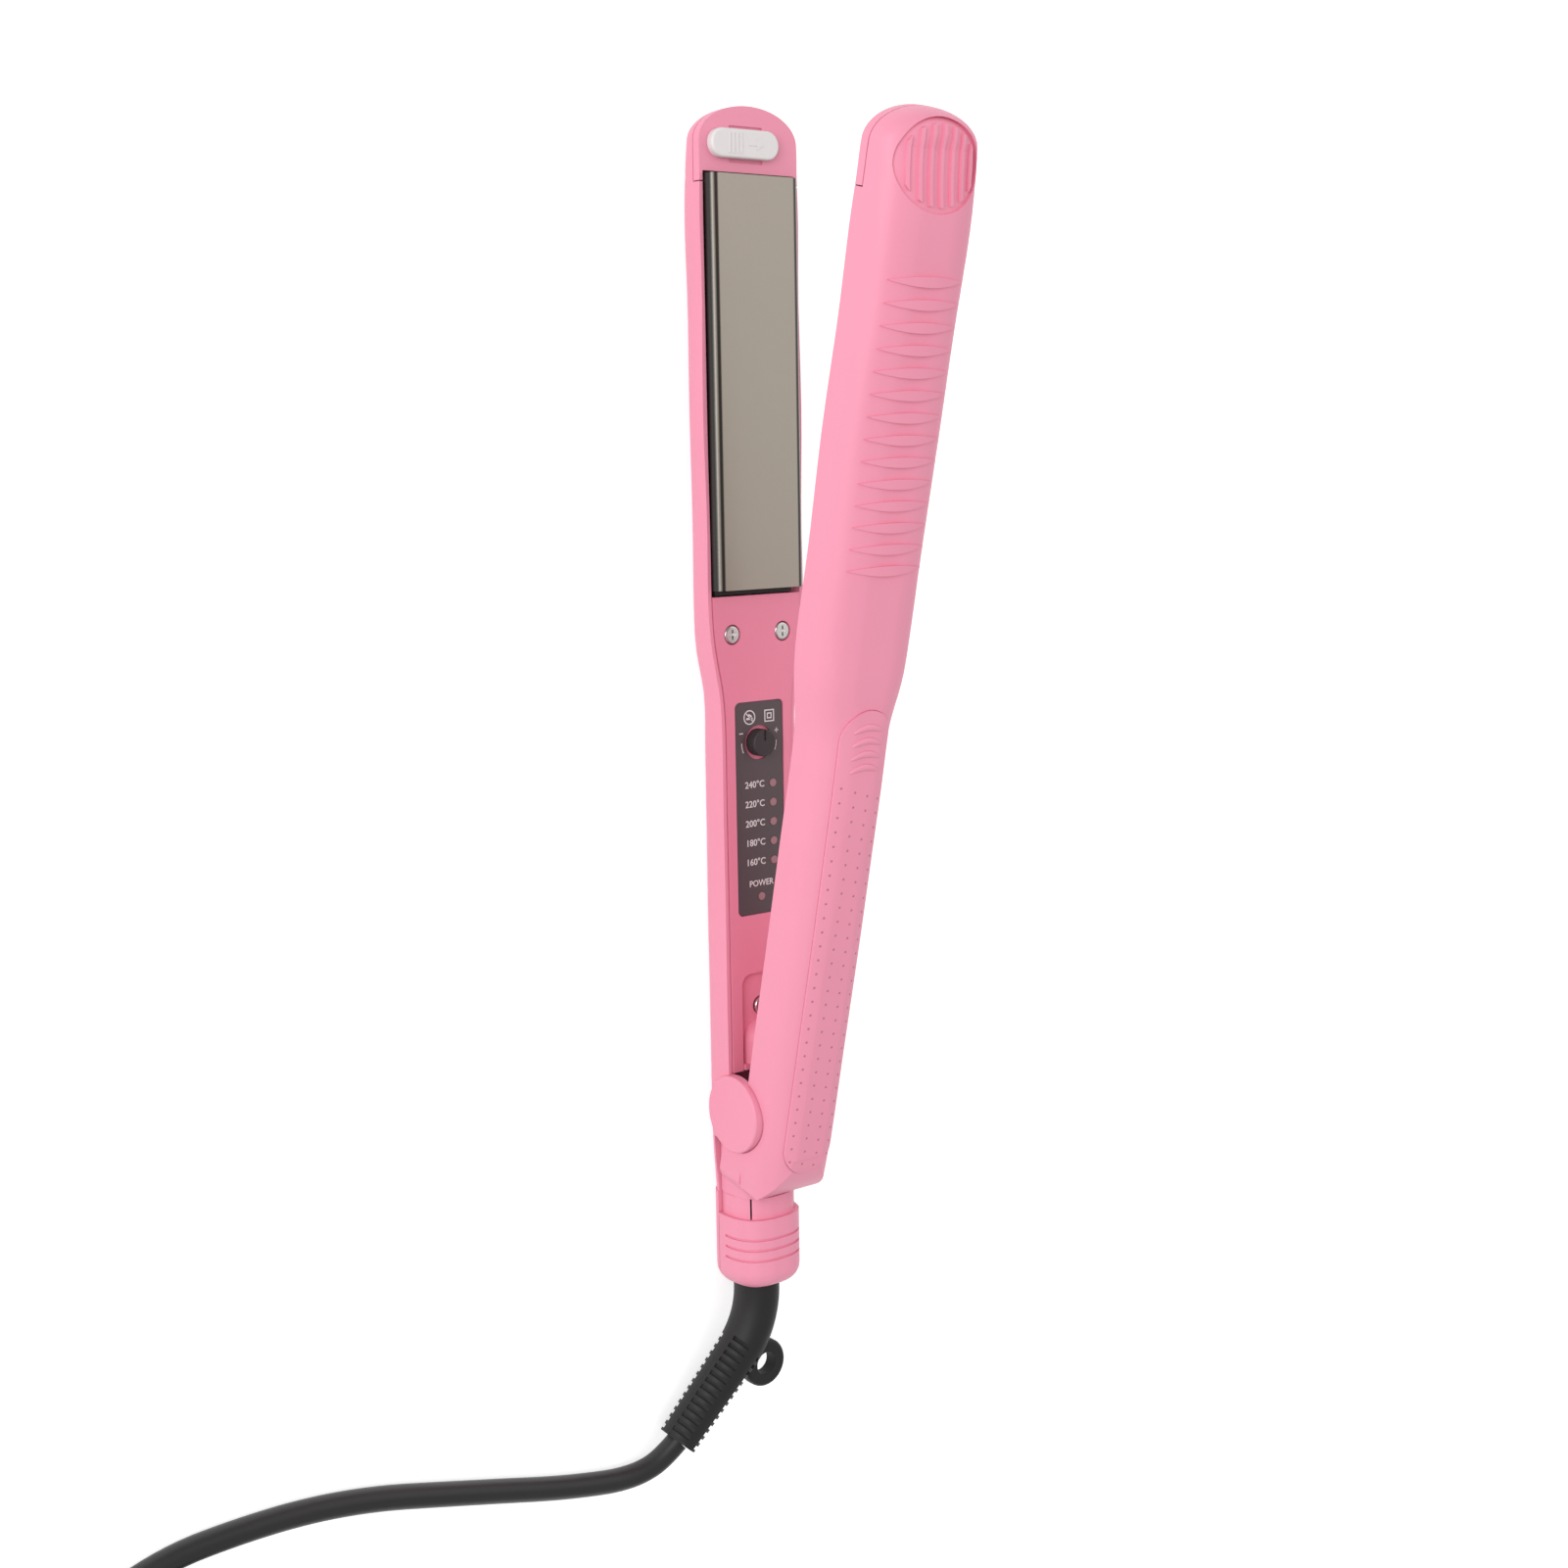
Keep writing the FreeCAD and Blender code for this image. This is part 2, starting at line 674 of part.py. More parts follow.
def lock_slider():
    """White slider: rounded head, neck through the slot and a foot below the cap."""
    head = stadium(lock_x, lock_offset, rim_z + 0.15, lock_top, lock_length, lock_width)
    top = [edge for edge in head.Edges if edge.BoundBox.ZMin > lock_top - 1e-3]
    head = head.makeFillet(0.6, top)
    end_y = lock_offset - lock_length / 2
    undercut = box(lock_x - hook_inner - 0.4, lock_x + hook_outer + 0.5, end_y - 1,
                   end_y + lock_travel + 1.2, rim_z - 1, rim_z + lock_undercut)
    head = head.cut(undercut)
    half_x, half_y = lock_neck_width / 2, lock_neck_length / 2
    low = rim_z - cap_wall - 0.2
    neck = box(lock_x - half_x, lock_x + half_x, lock_offset - half_y, lock_offset + half_y,
               low - 0.1, rim_z + 0.3)
    foot = box(lock_x - half_x - 1.6, lock_x + half_x + 1.6, lock_offset - half_y,
               lock_offset + half_y, low - 1.0, low)
    grips = [box(lock_x - 2.4, lock_x + 2.4, y - 0.25, y + 0.25, lock_top - 0.3, lock_top + 0.25)
             for y in (lock_offset + 1.5 + 1.2 * i for i in range(4))]
    return joined([head, neck, foot] + grips)


def heated_plate():
    """Aluminium plate with rounded long edges and two rails that hold the heater."""
    half = plate_flat_half + plate_edge_radius
    slab = box(plate_x0, plate_x1, -half, half, plate_z - plate_thickness, plate_z)
    long_edges = [edge for edge in slab.Edges
                  if edge.BoundBox.ZMin > plate_z - 1e-3 and edge.BoundBox.XLength > plate_length / 2]
    slab = slab.makeFillet(plate_edge_radius, long_edges)
    rail_low = plate_z - plate_thickness - heater_thickness - clamp_thickness
    middle = (plate_x0 + plate_x1) / 2
    reach = heater_length / 2 + 2
    rails = []
    for side in (-1, 1):
        y0, y1 = sorted((side * (heater_width / 2 + 0.1), side * (heater_width / 2 + 1.6)))
        rails.append(box(middle - reach, middle + reach, y0, y1, rail_low,
                         plate_z - plate_thickness))
    return joined([slab] + rails)


def heater():
    middle = (plate_x0 + plate_x1) / 2
    top = plate_z - plate_thickness
    return box(middle - heater_length / 2, middle + heater_length / 2, -heater_width / 2,
               heater_width / 2, top - heater_thickness, top)


def heater_clamp():
    """Steel strip under the heater, with a seat for each spring."""
    middle = (plate_x0 + plate_x1) / 2
    top = plate_z - plate_thickness - heater_thickness
    half = heater_width / 2
    reach = heater_length / 2 + 1
    return box(middle - reach, middle + reach, -half, half, top - clamp_thickness, top)


def sensor_pair():
    """Thermistor bead and thermal cut-out clipped below the clamp."""
    middle = (plate_x0 + plate_x1) / 2
    top = plate_z - plate_thickness - heater_thickness - clamp_thickness
    bead = box(middle - 13, middle - 9, -1.2, 1.2, top - 1.2, top)
    cut_out = long_rod(middle + 6, middle + 15, 0, top - 0.6, 0.6)
    return group([bead, cut_out])


def plate_carrier():
    """Black tray that the plate floats in, with a cup under each spring."""
    x0, x1 = plate_x0 - carrier_overhang, plate_x1 + 0.3
    bottom = rim_z - carrier_depth
    top = rim_z - carrier_drop
    tray = box(x0, x1, -carrier_half_width, carrier_half_width, bottom, top)
    low = [edge for edge in tray.Edges
           if edge.BoundBox.ZMax < bottom + 1e-3 and edge.BoundBox.XLength > 10]
    tray = tray.makeFillet(1.6, low)
    lip = 0.4
    hollow = box(plate_x0 - lip, plate_x1 + lip, -carrier_half_width + carrier_wall,
                 carrier_half_width - carrier_wall, bottom + carrier_wall, top + 1)
    cups = [rod(x, 0, bottom - 2.4, bottom + 0.5, spring_pocket_radius + 1.0) for x in pad_xs]
    wells = [rod(x, 0, bottom - 1.4, top, spring_pocket_radius) for x in pad_xs]
    holes = [rod(x, 0, bottom - 5, top, screw_shank_radius + 0.1) for x in boss_xs]
    tray = tray.cut(hollow).fuse(cups).cut(group(wells + holes))
    return largest(tray)


def plate_springs():
    """Two small coil springs that push the plate out of its carrier."""
    low = rim_z - carrier_depth - 1.4 + spring_wire
    high = plate_z - plate_thickness - heater_thickness - clamp_thickness - spring_wire - 0.05
    return group([coil(Vector(x, 0, low), high - low, spring_radius, spring_wire, 3.0)
                  for x in pad_xs])


def coil(start, height, radius, wire_radius, turns):
    """Closed solid of a round-wire helix standing on start."""
    path = Part.makeHelix(height / turns, height, radius)
    section = Part.Wire(Part.makeCircle(wire_radius, Vector(radius, 0, 0), Vector(0, 1, 0)))
    spring = Part.Wire(path).makePipeShell([section], True, True)
    spring.translate(start)
    return spring


def carrier_screws():
    return group([pan_screw_low(x, 0, carrier_floor_top, carrier_screw_length) for x in boss_xs])


def pan_screw_low(x, y, head_bottom, length):
    head = rod(x, y, head_bottom, head_bottom + 1.1, screw_head_radius)
    shank = rod(x, y, head_bottom - length, head_bottom, screw_shank_radius)
    slot = box(x - 1.5, x + 1.5, y - 0.25, y + 0.25, head_bottom + 0.6, head_bottom + 2)
    return joined([head, shank]).cut(slot)


def handle_cover():
    """Lid of the handle: raised edges, screw wells and the trough near the hinge."""
    outline = plan_prism(rim_lip + seam, cover_bottom, cover_top)
    lid = outline.common(box(cover_x0, cover_x1, -20, 20, 0, 40))
    trough = box(cover_x0 - 1, cover_x0 + trough_length, -trough_half_width, trough_half_width,
                 rim_z - trough_depth, 40)
    front = [edge for edge in trough.Edges if edge.BoundBox.ZLength > 5]
    trough = trough.makeFillet(3.0, [edge for edge in front if edge.BoundBox.XMin > cover_x0])
    wells = [rod(x, y, screw_seat(x), 40, screw_head_radius + 0.25) for x, y in screw_xy]
    holes = [rod(x, y, 0, 40, screw_shank_radius + 0.1) for x, y in screw_xy]
    return lid.cut(group([trough] + wells + holes))


def screw_seat(x):
    drop = trough_depth if x < cover_x0 + trough_length else 0.6
    return rim_z - drop - 0.35


def cover_screws():
    return group([pan_screw(x, y, screw_seat(x), cover_screw_length) for x, y in screw_xy])


label_x1 = plate_x0 - label_from_plate
label_x0 = label_x1 - label_length
label_z = cover_top - 0.3
dial_x = plate_x0 - dial_from_plate
lamp_xs = [plate_x0 - lamp_from_plate - i * lamp_pitch for i in range(lamp_count)]
power_x = plate_x0 - power_lamp_from_plate


def label_block(grow, z0, z1):
    half = label_width / 2 + grow
    block = box(label_x0 - grow, label_x1 + grow, -half, half, z0, z1)
    upright = [edge for edge in block.Edges if edge.BoundBox.ZLength > (z1 - z0) / 2]
    return block.makeFillet(label_corner, upright)


def lower_handle_cover():
    lid = handle_cover()
    lamp_holes = [rod(x, -lamp_offset, 0, 40, lamp_radius + 0.03) for x in lamp_xs]
    lamp_holes.append(rod(power_x, 0, 0, 40, lamp_radius + 0.03))
    well = rod(dial_x, 0, rim_z - 0.9, 40, dial_well_radius)
    stem = rod(dial_x, 0, 0, 40, dial_stem_radius + 0.3)
    cuts = [label_block(0.1, label_z - label_thickness, 40), well, stem] + lamp_holes
    return largest(lid.cut(group(cuts)))


def control_label():
    label = label_block(0, label_z - label_thickness, label_z)
    holes = [rod(x, -lamp_offset, 0, 40, lamp_radius + 0.03) for x in lamp_xs]
    holes += [rod(power_x, 0, 0, 40, lamp_radius + 0.03), rod(dial_x, 0, 0, 40, dial_well_radius)]
    return label.cut(group(holes))


lamp_low = board_z + board_thickness + 0.8


def temperature_lenses():
    return group([rod(x, -lamp_offset, lamp_low, label_z + 0.2, lamp_radius) for x in lamp_xs])


def power_lens():
    return rod(power_x, 0, lamp_low, label_z + 0.2, lamp_radius)


def circuit_board():
    x1 = plate_x0 - board_from_plate
    return box(x1 - board_length, x1, -board_half_width, board_half_width, board_z,
               board_z + board_thickness)


def board_parts():
    """Lamp chips, controller, relay and capacitor soldered to the board."""
    top = board_z + board_thickness
    chips = [box(x - 1.1, x + 1.1, -lamp_offset - 1.1, -lamp_offset + 1.1, top, lamp_low)
             for x in lamp_xs]
    chips.append(box(power_x - 1.1, power_x + 1.1, -1.1, 1.1, top, lamp_low))
    x1 = plate_x0 - board_from_plate
    controller = box(x1 - 34, x1 - 27, 1.0, 6.5, top, top + 1.4)
    relay = box(x1 - 67, x1 - 57, -5.5, 5.5, top, top + 3.8)
    capacitor = box(x1 - 46, x1 - 38, 1.0, 6.5, top, top + 3.2)
    return group(chips + [controller, relay, capacitor])


def dial_potentiometer():
    top = board_z + board_thickness
    body = box(dial_x - 4, dial_x + 4, -4, 4, top, cover_bottom - 0.1)
    bore = rod(dial_x, 0, top + 0.5, 40, dial_stem_radius + pin_clearance)
    return body.cut(bore)


def temp_dial():
    knob_low = rim_z - 0.9 + 0.15
    knob_top = cover_top + dial_height
    knob = rod(dial_x, 0, knob_low, knob_top, dial_radius)
    top = [edge for edge in knob.Edges if edge.BoundBox.ZMin > knob_low + 1]
    knob = knob.makeFillet(0.4, top)
    pointer = box(dial_x + 0.6, dial_x + dial_radius + 1, -0.3, 0.3, knob_top - 0.35, 40)
    stem = rod(dial_x, 0, board_z + board_thickness + 0.6, knob_low + 0.5, dial_stem_radius)
    return joined([knob, stem]).cut(pointer)


lead_bullet_radius = 5.75
lead_flange_half = 7.0


def lead_cover():
    """Bullet-shaped cover over the leads that cross to the other arm."""
    floor = rim_z - trough_depth + 0.05
    back = cover_x0 + 0.3
    nose = hinge_x + 22.8 - lead_bullet_radius
    axis_z = floor - 0.6
    bullet = joined([long_rod(back, nose, 0, axis_z, lead_bullet_radius),
                     Part.makeSphere(lead_bullet_radius, Vector(nose, 0, axis_z))])
    flange = box(back, back + 1.4, -lead_flange_half + 0.2, lead_flange_half - 0.2, floor, floor + 2.2)
    bullet = bullet.common(box(back, nose + 20, -20, 20, floor, 60))
    hollow = joined([long_rod(back - 1, nose, 0, axis_z, lead_bullet_radius - 1.2),
                     Part.makeSphere(lead_bullet_radius - 1.2, Vector(nose, 0, axis_z))])
    return largest(joined([bullet, flange]).cut(hollow))


def hinge_pin():
    reach = ear_inner + ear_thickness
    return cross_rod(hinge_x, hinge_z, -reach, reach, pin_radius)


def hinge_caps():
    start = ear_inner + ear_thickness
    caps = []
    for cap in hinge_pair(start, start + hinge_cap_thickness, ear_radius):
        outer = [edge for edge in cap.Edges
                 if min(abs(edge.BoundBox.YMin), abs(edge.BoundBox.YMax)) > start + 0.1]
        caps.append(cap.makeFillet(0.5, [edge for edge in outer if edge.BoundBox.XLength > 5]))
    return group(caps)


def hinge_bushes():
    bushes = hinge_pair(lug_inner - 0.3, lug_outer + 0.1, bush_radius)
    bore = cross_rod(hinge_x, hinge_z, -20, 20, pin_radius + pin_clearance)
    return group([bush.cut(bore) for bush in bushes])


def opening_spring():
    """Torsion spring round the hinge pin with one leg in each arm."""
    lean = math.radians(spring_leg_angle)
    start = Vector(hinge_x - spring_coil_radius * math.sin(lean), -spring_coil_half,
                   hinge_z - spring_coil_radius * math.cos(lean))
    lower_leg = Part.makeCylinder(spring_coil_wire, spring_leg, start,
                                  Vector(math.cos(lean), 0, -math.sin(lean)))
    mirrored = lower_leg.copy()
    mirrored.translate(Vector(0, 2 * spring_coil_half, 0))
    upper_leg = to_upper(mirrored)
    first = 90 + spring_leg_angle + open_angle
    last = -90 - spring_leg_angle
    sweep = last - first + 4 * 360
    height = 2 * spring_coil_half
    turns = sweep / 360
    winding = coil(Vector(0, 0, 0), height, spring_coil_radius, spring_coil_wire, turns)
    winding.rotate(Vector(0, 0, 0), Vector(0, 0, 1), first)
    winding.rotate(Vector(0, 0, 0), Vector(1, 0, 0), 90)
    winding.translate(Vector(hinge_x, spring_coil_half, hinge_z))
    return joined([winding, lower_leg, upper_leg])


def rear_cover():
    """Grooved cover of the rear housing with the neck that runs in under the upper arm."""
    body = rear_outside.common(box(rear_x1 - 5, rear_x0 + 1, -20, 20, rear_seam_z, 60))
    body = body.cut(group([rear_cavity, rear_mouth]))
    neck_front = hinge_x - ear_radius - 0.6
    high = hinge_z + neck_top
    neck = box(rear_x0 - 2, neck_front, -neck_cover_half, neck_cover_half, rear_seam_z, high)
    top = [edge for edge in neck.Edges
           if edge.BoundBox.ZMin > high - 1e-3 and edge.BoundBox.XLength > 5]
    neck = neck.makeFillet(3.0, top)
    inside = box(rear_x0 - 5, neck_front + 1, -neck_cover_half + neck_wall,
                 neck_cover_half - neck_wall, 0, high - neck_wall)
    boss = rod(rear_screw_x, 0, rear_seam_z, high, screw_boss_radius)
    body = joined([body, neck]).cut(inside.cut(boss))
    body = body.fuse(boss)
    grooves = [rear_band(rear_x0 - groove_start - groove_pitch * i - groove_width,
                         rear_x0 - groove_start - groove_pitch * i, groove_depth,
                         rear_seam_z + 3) for i in range(3)]
    grooves.append(rear_band(rear_x0 - collar_start, rear_x0 + 1, collar_step, rear_seam_z))
    pilot = rod(rear_screw_x, 0, 0, rear_seam_z + 6, screw_shank_radius + screw_fit)
    return largest(body.cut(group(grooves + [pilot])))


def rear_band(x0, x1, depth, low):
    """Layer of the rear housing's skin between x0 and x1, above low."""
    ring = superellipse_block(x0, x1, rear_half_width + 1, rear_half_height + 1, rear_power,
                              rear_half_height)
    core = superellipse_block(x0 - 1, x1 + 1, rear_half_width - depth, rear_half_height - depth,
                              rear_power, rear_half_height)
    return ring.cut(core).common(box(x0 - 1, x1 + 1, -20, 20, low, 60))


def rear_cover_screw():
    head = rod(rear_screw_x, 0, 0.5, 0.5 + screw_head_height, screw_head_radius)
    shank = rod(rear_screw_x, 0, 0.5 + screw_head_height, rear_seam_z + 5, screw_shank_radius)
    slot = box(rear_screw_x - 1.5, rear_screw_x + 1.5, -0.25, 0.25, -1, 0.9)
    return joined([head, shank]).cut(slot)


def swivel_barrel():
    """Hard end of the cord entry that turns in the rear housing."""
    x = rear_x1 + end_wall + running_gap
    flange = long_rod(x, x + 3.0, 0, swivel_z, swivel_flange_radius)
    body = long_rod(x + 3.0, x + 3.0 + swivel_body_length, 0, swivel_z, swivel_body_radius)
    bore = long_rod(x - 1, x + 40, 0, swivel_z, relief_hole_radius)
    return joined([flange, body]).cut(bore)


def swivel_bush():
    bush = long_rod(bush_x, bush_x + 2.2, 0, swivel_z, swivel_cavity_radius - 0.05)
    return bush.cut(long_rod(bush_x - 1, bush_x + 4, 0, swivel_z, swivel_body_radius + 0.06))


ring_xs = [bush_x + 3.6 + i * 3.2 for i in range(2)]


def contact_rings():
    rings = [long_rod(x, x + contact_ring_width, 0, swivel_z, contact_ring_radius) for x in ring_xs]
    core = long_rod(bush_x, rear_x0, 0, swivel_z, swivel_body_radius + 0.01)
    return group([ring.cut(core) for ring in rings])


def contact_block():
    """Insulating block with a brass leaf under each slip ring."""
    low = swivel_z - swivel_cavity_radius + 0.45
    return box(ring_xs[0] - 0.4, ring_xs[1] + contact_ring_width + 0.4, -2.4, 2.4, low, low + 0.7)


def contact_leaves():
    low = swivel_z - swivel_cavity_radius + 0.45 + 0.7
    return group([box(x, x + contact_ring_width, -2.2, 2.2, low,
                      swivel_z - contact_ring_radius - 0.25) for x in ring_xs])


# ---- cord route: relief end first, then along the table (centre line points) ----
relief_turn = Vector(rear_x1 - 12.6, 0, swivel_z)
relief_end = Vector(rear_x1 - 39.6, 24.5, 5.8)
lay_z = cord_diameter / 2
cord_points = [
    relief_end,
    Vector(rear_x1 - 43.7, 28.2, 5.3),
    Vector(rear_x1 - 46.8, 33.3, 4.7),
    Vector(rear_x1 - 48.6, 39.6, 4.1),
    Vector(rear_x1 - 48.8, 48.6, 3.5),
    Vector(rear_x1 - 47.1, 60.6, 3.1),
    Vector(rear_x1 - 42.3, 77.8, lay_z),
    Vector(rear_x1 - 34.7, 99.2, lay_z),
    Vector(rear_x1 - 29.4, 120.2, lay_z),
    Vector(rear_x1 - 26.3, 140.5, lay_z),
    Vector(rear_x1 - 27.3, 160.6, lay_z),
    Vector(rear_x1 - 33.5, 179.0, lay_z),
    Vector(rear_x1 - 45.5, 193.5, lay_z),
    Vector(rear_x1 - 62.0, 201.5, lay_z),
    Vector(rear_x1 - 82.0, 203.0, lay_z),
]
coil_centre = Vector(rear_x1 - 82.0, 203.0 - coil_mean_radius - cord_diameter, 0)
tail_start = Vector(coil_centre.x - coil_mean_radius - cord_diameter, coil_centre.y,
                    lay_z + (coil_turn_layers - 1) * cord_diameter)
tail_points = [
    tail_start,
    tail_start + Vector(-2.5, -17.0, -3.5),
    tail_start + Vector(-6.0, -34.0, -9.0),
    tail_start + Vector(-11.0, -50.0, -11.7),
    tail_start + Vector(-18.5, -64.0, -11.4),
]


def tube(points, name):
    """Round tube along straight runs joined by tangent arcs."""
    radius = cord_diameter / 2
    edges = []
    start = points[0]
    radii = []
    for before, corner, after in zip(points, points[1:], points[2:]):
        run_in, run_out = corner - before, after - corner
        reach = 0.45 * min(run_in.Length, run_out.Length)
        turn = run_in.getAngle(run_out)
        radii.append(reach / math.tan(turn / 2))
        into = corner - run_in.normalize() * reach
        out = corner + run_out.normalize() * reach
        bisector = (into + out) * 0.5 - corner
        sagitta = radii[-1] / math.cos(turn / 2) - radii[-1]
        middle = corner + bisector.normalize() * sagitta
        edges.append(Part.LineSegment(start, into).toShape())
        edges.append(Part.Arc(into, middle, out).toShape())
        start = out
    edges.append(Part.LineSegment(start, points[-1]).toShape())
    path = Part.Wire(edges)
    first = (points[1] - points[0]).normalize()
    section = Part.Wire(Part.makeCircle(radius, points[0], first))
    solid = path.makePipeShell([section], True, False)
    length = path.Length
    print(name, "radii", [round(value, 1) for value in radii], "length", round(length, 1),
          "volume ratio", round(solid.Volume / (math.pi * radius ** 2 * length), 4))
    return solid


def strain_relief():
    """Bent rubber sleeve moulded over the cord, with rows of slots and a hanging loop."""
    into = relief_turn - relief_end
    direction = (relief_end - relief_turn).normalize()
    bend = 10.0
    start_x = rear_x1 + end_wall + running_gap - 0.05
    first = relief_turn + Vector(bend, 0, 0)
    last = relief_turn + direction * bend
    neck = long_rod(first.x, start_x, 0, swivel_z, relief_radius)
    turn = Vector(-1, 0, 0).getAngle(direction)
    radius = bend / math.tan(turn / 2)
    bisector = ((first + last) * 0.5 - relief_turn).normalize()
    middle = relief_turn + bisector * (radius / math.cos(turn / 2) - radius)
    arc = Part.Wire(Part.Arc(first, middle, last).toShape())
    section = Part.Wire(Part.makeCircle(relief_radius, first, Vector(-1, 0, 0)))
    elbow = arc.makePipeShell([section], True, False)
    rest = into.Length - bend
    sleeve = Part.makeCone(relief_radius, relief_end_radius, rest, last, direction)
    body = joined([neck, elbow, sleeve])
    ring_centre = relief_turn + direction * loop_along + loop_side(direction) * loop_out
    ring = rod(ring_centre.x, ring_centre.y, ring_centre.z - loop_thickness / 2,
               ring_centre.z + loop_thickness / 2, loop_outer_radius)
    rim = [edge for edge in ring.Edges if edge.BoundBox.ZLength < 1e-3]
    ring = ring.makeFillet(1.2, rim)
    body = joined([body, ring])
    hole = rod(ring_centre.x, ring_centre.y, 0, 40, loop_hole_radius)
    bore_neck = long_rod(relief_turn.x + 4, start_x + 1, 0, swivel_z, relief_hole_radius)
    bore_turn = Part.makeSphere(relief_hole_radius, relief_turn + Vector(4, 0, 0))
    slots = relief_slots_cut(direction, last)
    return largest(body.cut(group([bore_neck, bore_turn, hole] + slots)))


def loop_side(direction):
    """Unit vector in the table plane, to the right of the sleeve's direction."""
    return Vector(direction.y, -direction.x, 0).normalize() * -1


def relief_slots_cut(direction, start):
    """Short slots across the sleeve in four rows, each row a half pitch off its neighbours."""
    up = Vector(0, 0, 1)
    side = direction.cross(up).normalize()
    top = side.cross(direction).normalize()
    slots = []
    for row in range(4):
        angle = math.radians(90 * row + 45)
        outward = side * math.cos(angle) + top * math.sin(angle)
        around = direction.cross(outward)
        for i in range(relief_slots):
            along = -3.0 + relief_slot_pitch * (i + 0.5 * (row % 2))
            centre = start + direction * along + outward * (relief_radius - 0.2)
            slots.append(slot_block(centre, direction, around, outward))
    return slots


def slot_block(centre, along, around, outward):
    corner = Vector(-relief_slot_width / 2, -relief_slot_length / 2, -relief_slot_depth)
    block = Part.makeBox(relief_slot_width, relief_slot_length, relief_slot_depth + 2, corner)
    matrix = FreeCAD.Matrix(along.x, around.x, outward.x, centre.x,
                            along.y, around.y, outward.y, centre.y,
                            along.z, around.z, outward.z, centre.z)
    return block.transformed(matrix)


def cord_coil():
    """Outer shape of the wound length: a flat ring with rounded edges."""
    half = coil_turn_columns * cord_diameter / 2
    height = coil_turn_layers * cord_diameter
    outer = Part.makeCylinder(coil_mean_radius + half, height, coil_centre)
    inner = Part.makeCylinder(coil_mean_radius - half, height, coil_centre)
    ring = outer.cut(inner)
    rims = [edge for edge in ring.Edges if edge.BoundBox.ZLength < 1e-3]
    return ring.makeFillet(cord_diameter * 0.35, rims)


plug_direction = (tail_points[-1] - tail_points[-2]).normalize()
plug_flat = Vector(plug_direction.x, plug_direction.y, 0).normalize()
plug_start = Vector(tail_points[-1].x, tail_points[-1].y, 0)


def plug_frame(shape):
    """Carry a shape drawn along +X from the origin to where the plug lies."""
    shape.rotate(Vector(0, 0, 0), Vector(0, 0, 1),
                 math.degrees(math.atan2(plug_flat.y, plug_flat.x)))
    shape.translate(plug_start)
    return shape


def plug_body():
    """Flat two-pin plug body with a tapered cord sleeve."""
    x0, x1 = plug_sleeve_length, plug_sleeve_length + plug_length
    sleeve = Part.makeCone(3.9, 4.4, x0 + 2, Vector(0, 0, tail_points[-1].z + 0.9),
                           Vector(1, 0, 0))
    block = box(x0, x1, -plug_half_width, plug_half_width, 0, plug_height)
    corners = [edge for edge in block.Edges
               if edge.BoundBox.ZLength > 5 and edge.BoundBox.XMax < x0 + 0.1]
    block = block.makeFillet(plug_corner, corners)
    block = block.makeFillet(1.5, [edge for edge in block.Edges
                                   if edge.BoundBox.ZMin > plug_height - 1])
    body = joined([block, sleeve])
    roots = [plug_pin_root(side, 0.01) for side in (-1, 1)]
    return plug_frame(largest(body.cut(group(roots))))


def plug_pin_root(side, gap):
    """Part of a pin that is moulded into the plug body."""
    x1 = plug_sleeve_length + plug_length
    return long_rod(x1 - plug_pin_root_length - gap, x1, side * plug_pin_spacing / 2,
                    plug_height / 2, plug_pin_root_radius + gap)


def plug_pins():
    x1 = plug_sleeve_length + plug_length
    pins = []
    for side in (-1, 1):
        shaft = long_rod(x1, x1 + plug_pin_length, side * plug_pin_spacing / 2, plug_height / 2,
                         plug_pin_radius)
        tip = [edge for edge in shaft.Edges if edge.BoundBox.XMin > x1 + 1]
        pins.append(joined([shaft.makeFillet(1.2, tip), plug_pin_root(side, 0)]))
    return plug_frame(group(pins))


lead_radius = 0.8
heater_lead_radius = 0.7


def lead_run(points, radius):
    """Insulated lead inside the housing: straight runs with round corners."""
    pieces = []
    for a, b in zip(points, points[1:]):
        step = b - a
        pieces.append(Part.makeCylinder(radius, step.Length, a, step))
    pieces += [Part.makeSphere(radius, point) for point in points[1:-1]]
    return joined(pieces)


def lower_leads():
    """Mains leads from the slip contacts to the board and heater leads from the board."""
    board_x0 = plate_x0 - board_from_plate - board_length
    board_x1 = plate_x0 - board_from_plate
    carrier_x = plate_x0 - carrier_overhang - 0.05
    runs = []
    for side in (-1, 1):
        runs.append(lead_run([Vector(ring_xs[1] + 3.4, side * 2.2, 3.4),
                              Vector(ring_xs[1] + 5.5, side * 3.8, 4.2),
                              Vector(rear_x0 + 2, side * 4.9, 4.6),
                              Vector(hinge_x, side * 6.2, 4.6),
                              Vector(board_x0 + 2, side * 6.2, 4.6)], lead_radius))
        runs.append(lead_run([Vector(board_x1 - 2, side * 3.0, 4.6),
                              Vector(plate_x0 - 14, side * 3.0, 4.6),
                              Vector(plate_x0 - 6, side * 3.0, 9.4),
                              Vector(carrier_x, side * 3.0, 9.4)], heater_lead_radius))
    return group(runs)


def upper_leads():
    """Heater leads of the upper arm from the hinge end to the plate carrier."""
    carrier_x = plate_x0 - carrier_overhang - 0.05
    runs = []
    for side in (-1, 1):
        runs.append(lead_run([Vector(hinge_x + 16, side * 2.6, 4.4),
                              Vector(hinge_x + 22, side * 5.4, 4.6),
                              Vector(plate_x0 - 25, side * 5.4, 4.6),
                              Vector(plate_x0 - 18, side * 3.0, 4.8),
                              Vector(plate_x0 - 6, side * 3.0, 9.4),
                              Vector(carrier_x, side * 3.0, 9.4)], heater_lead_radius))
    return group(runs)


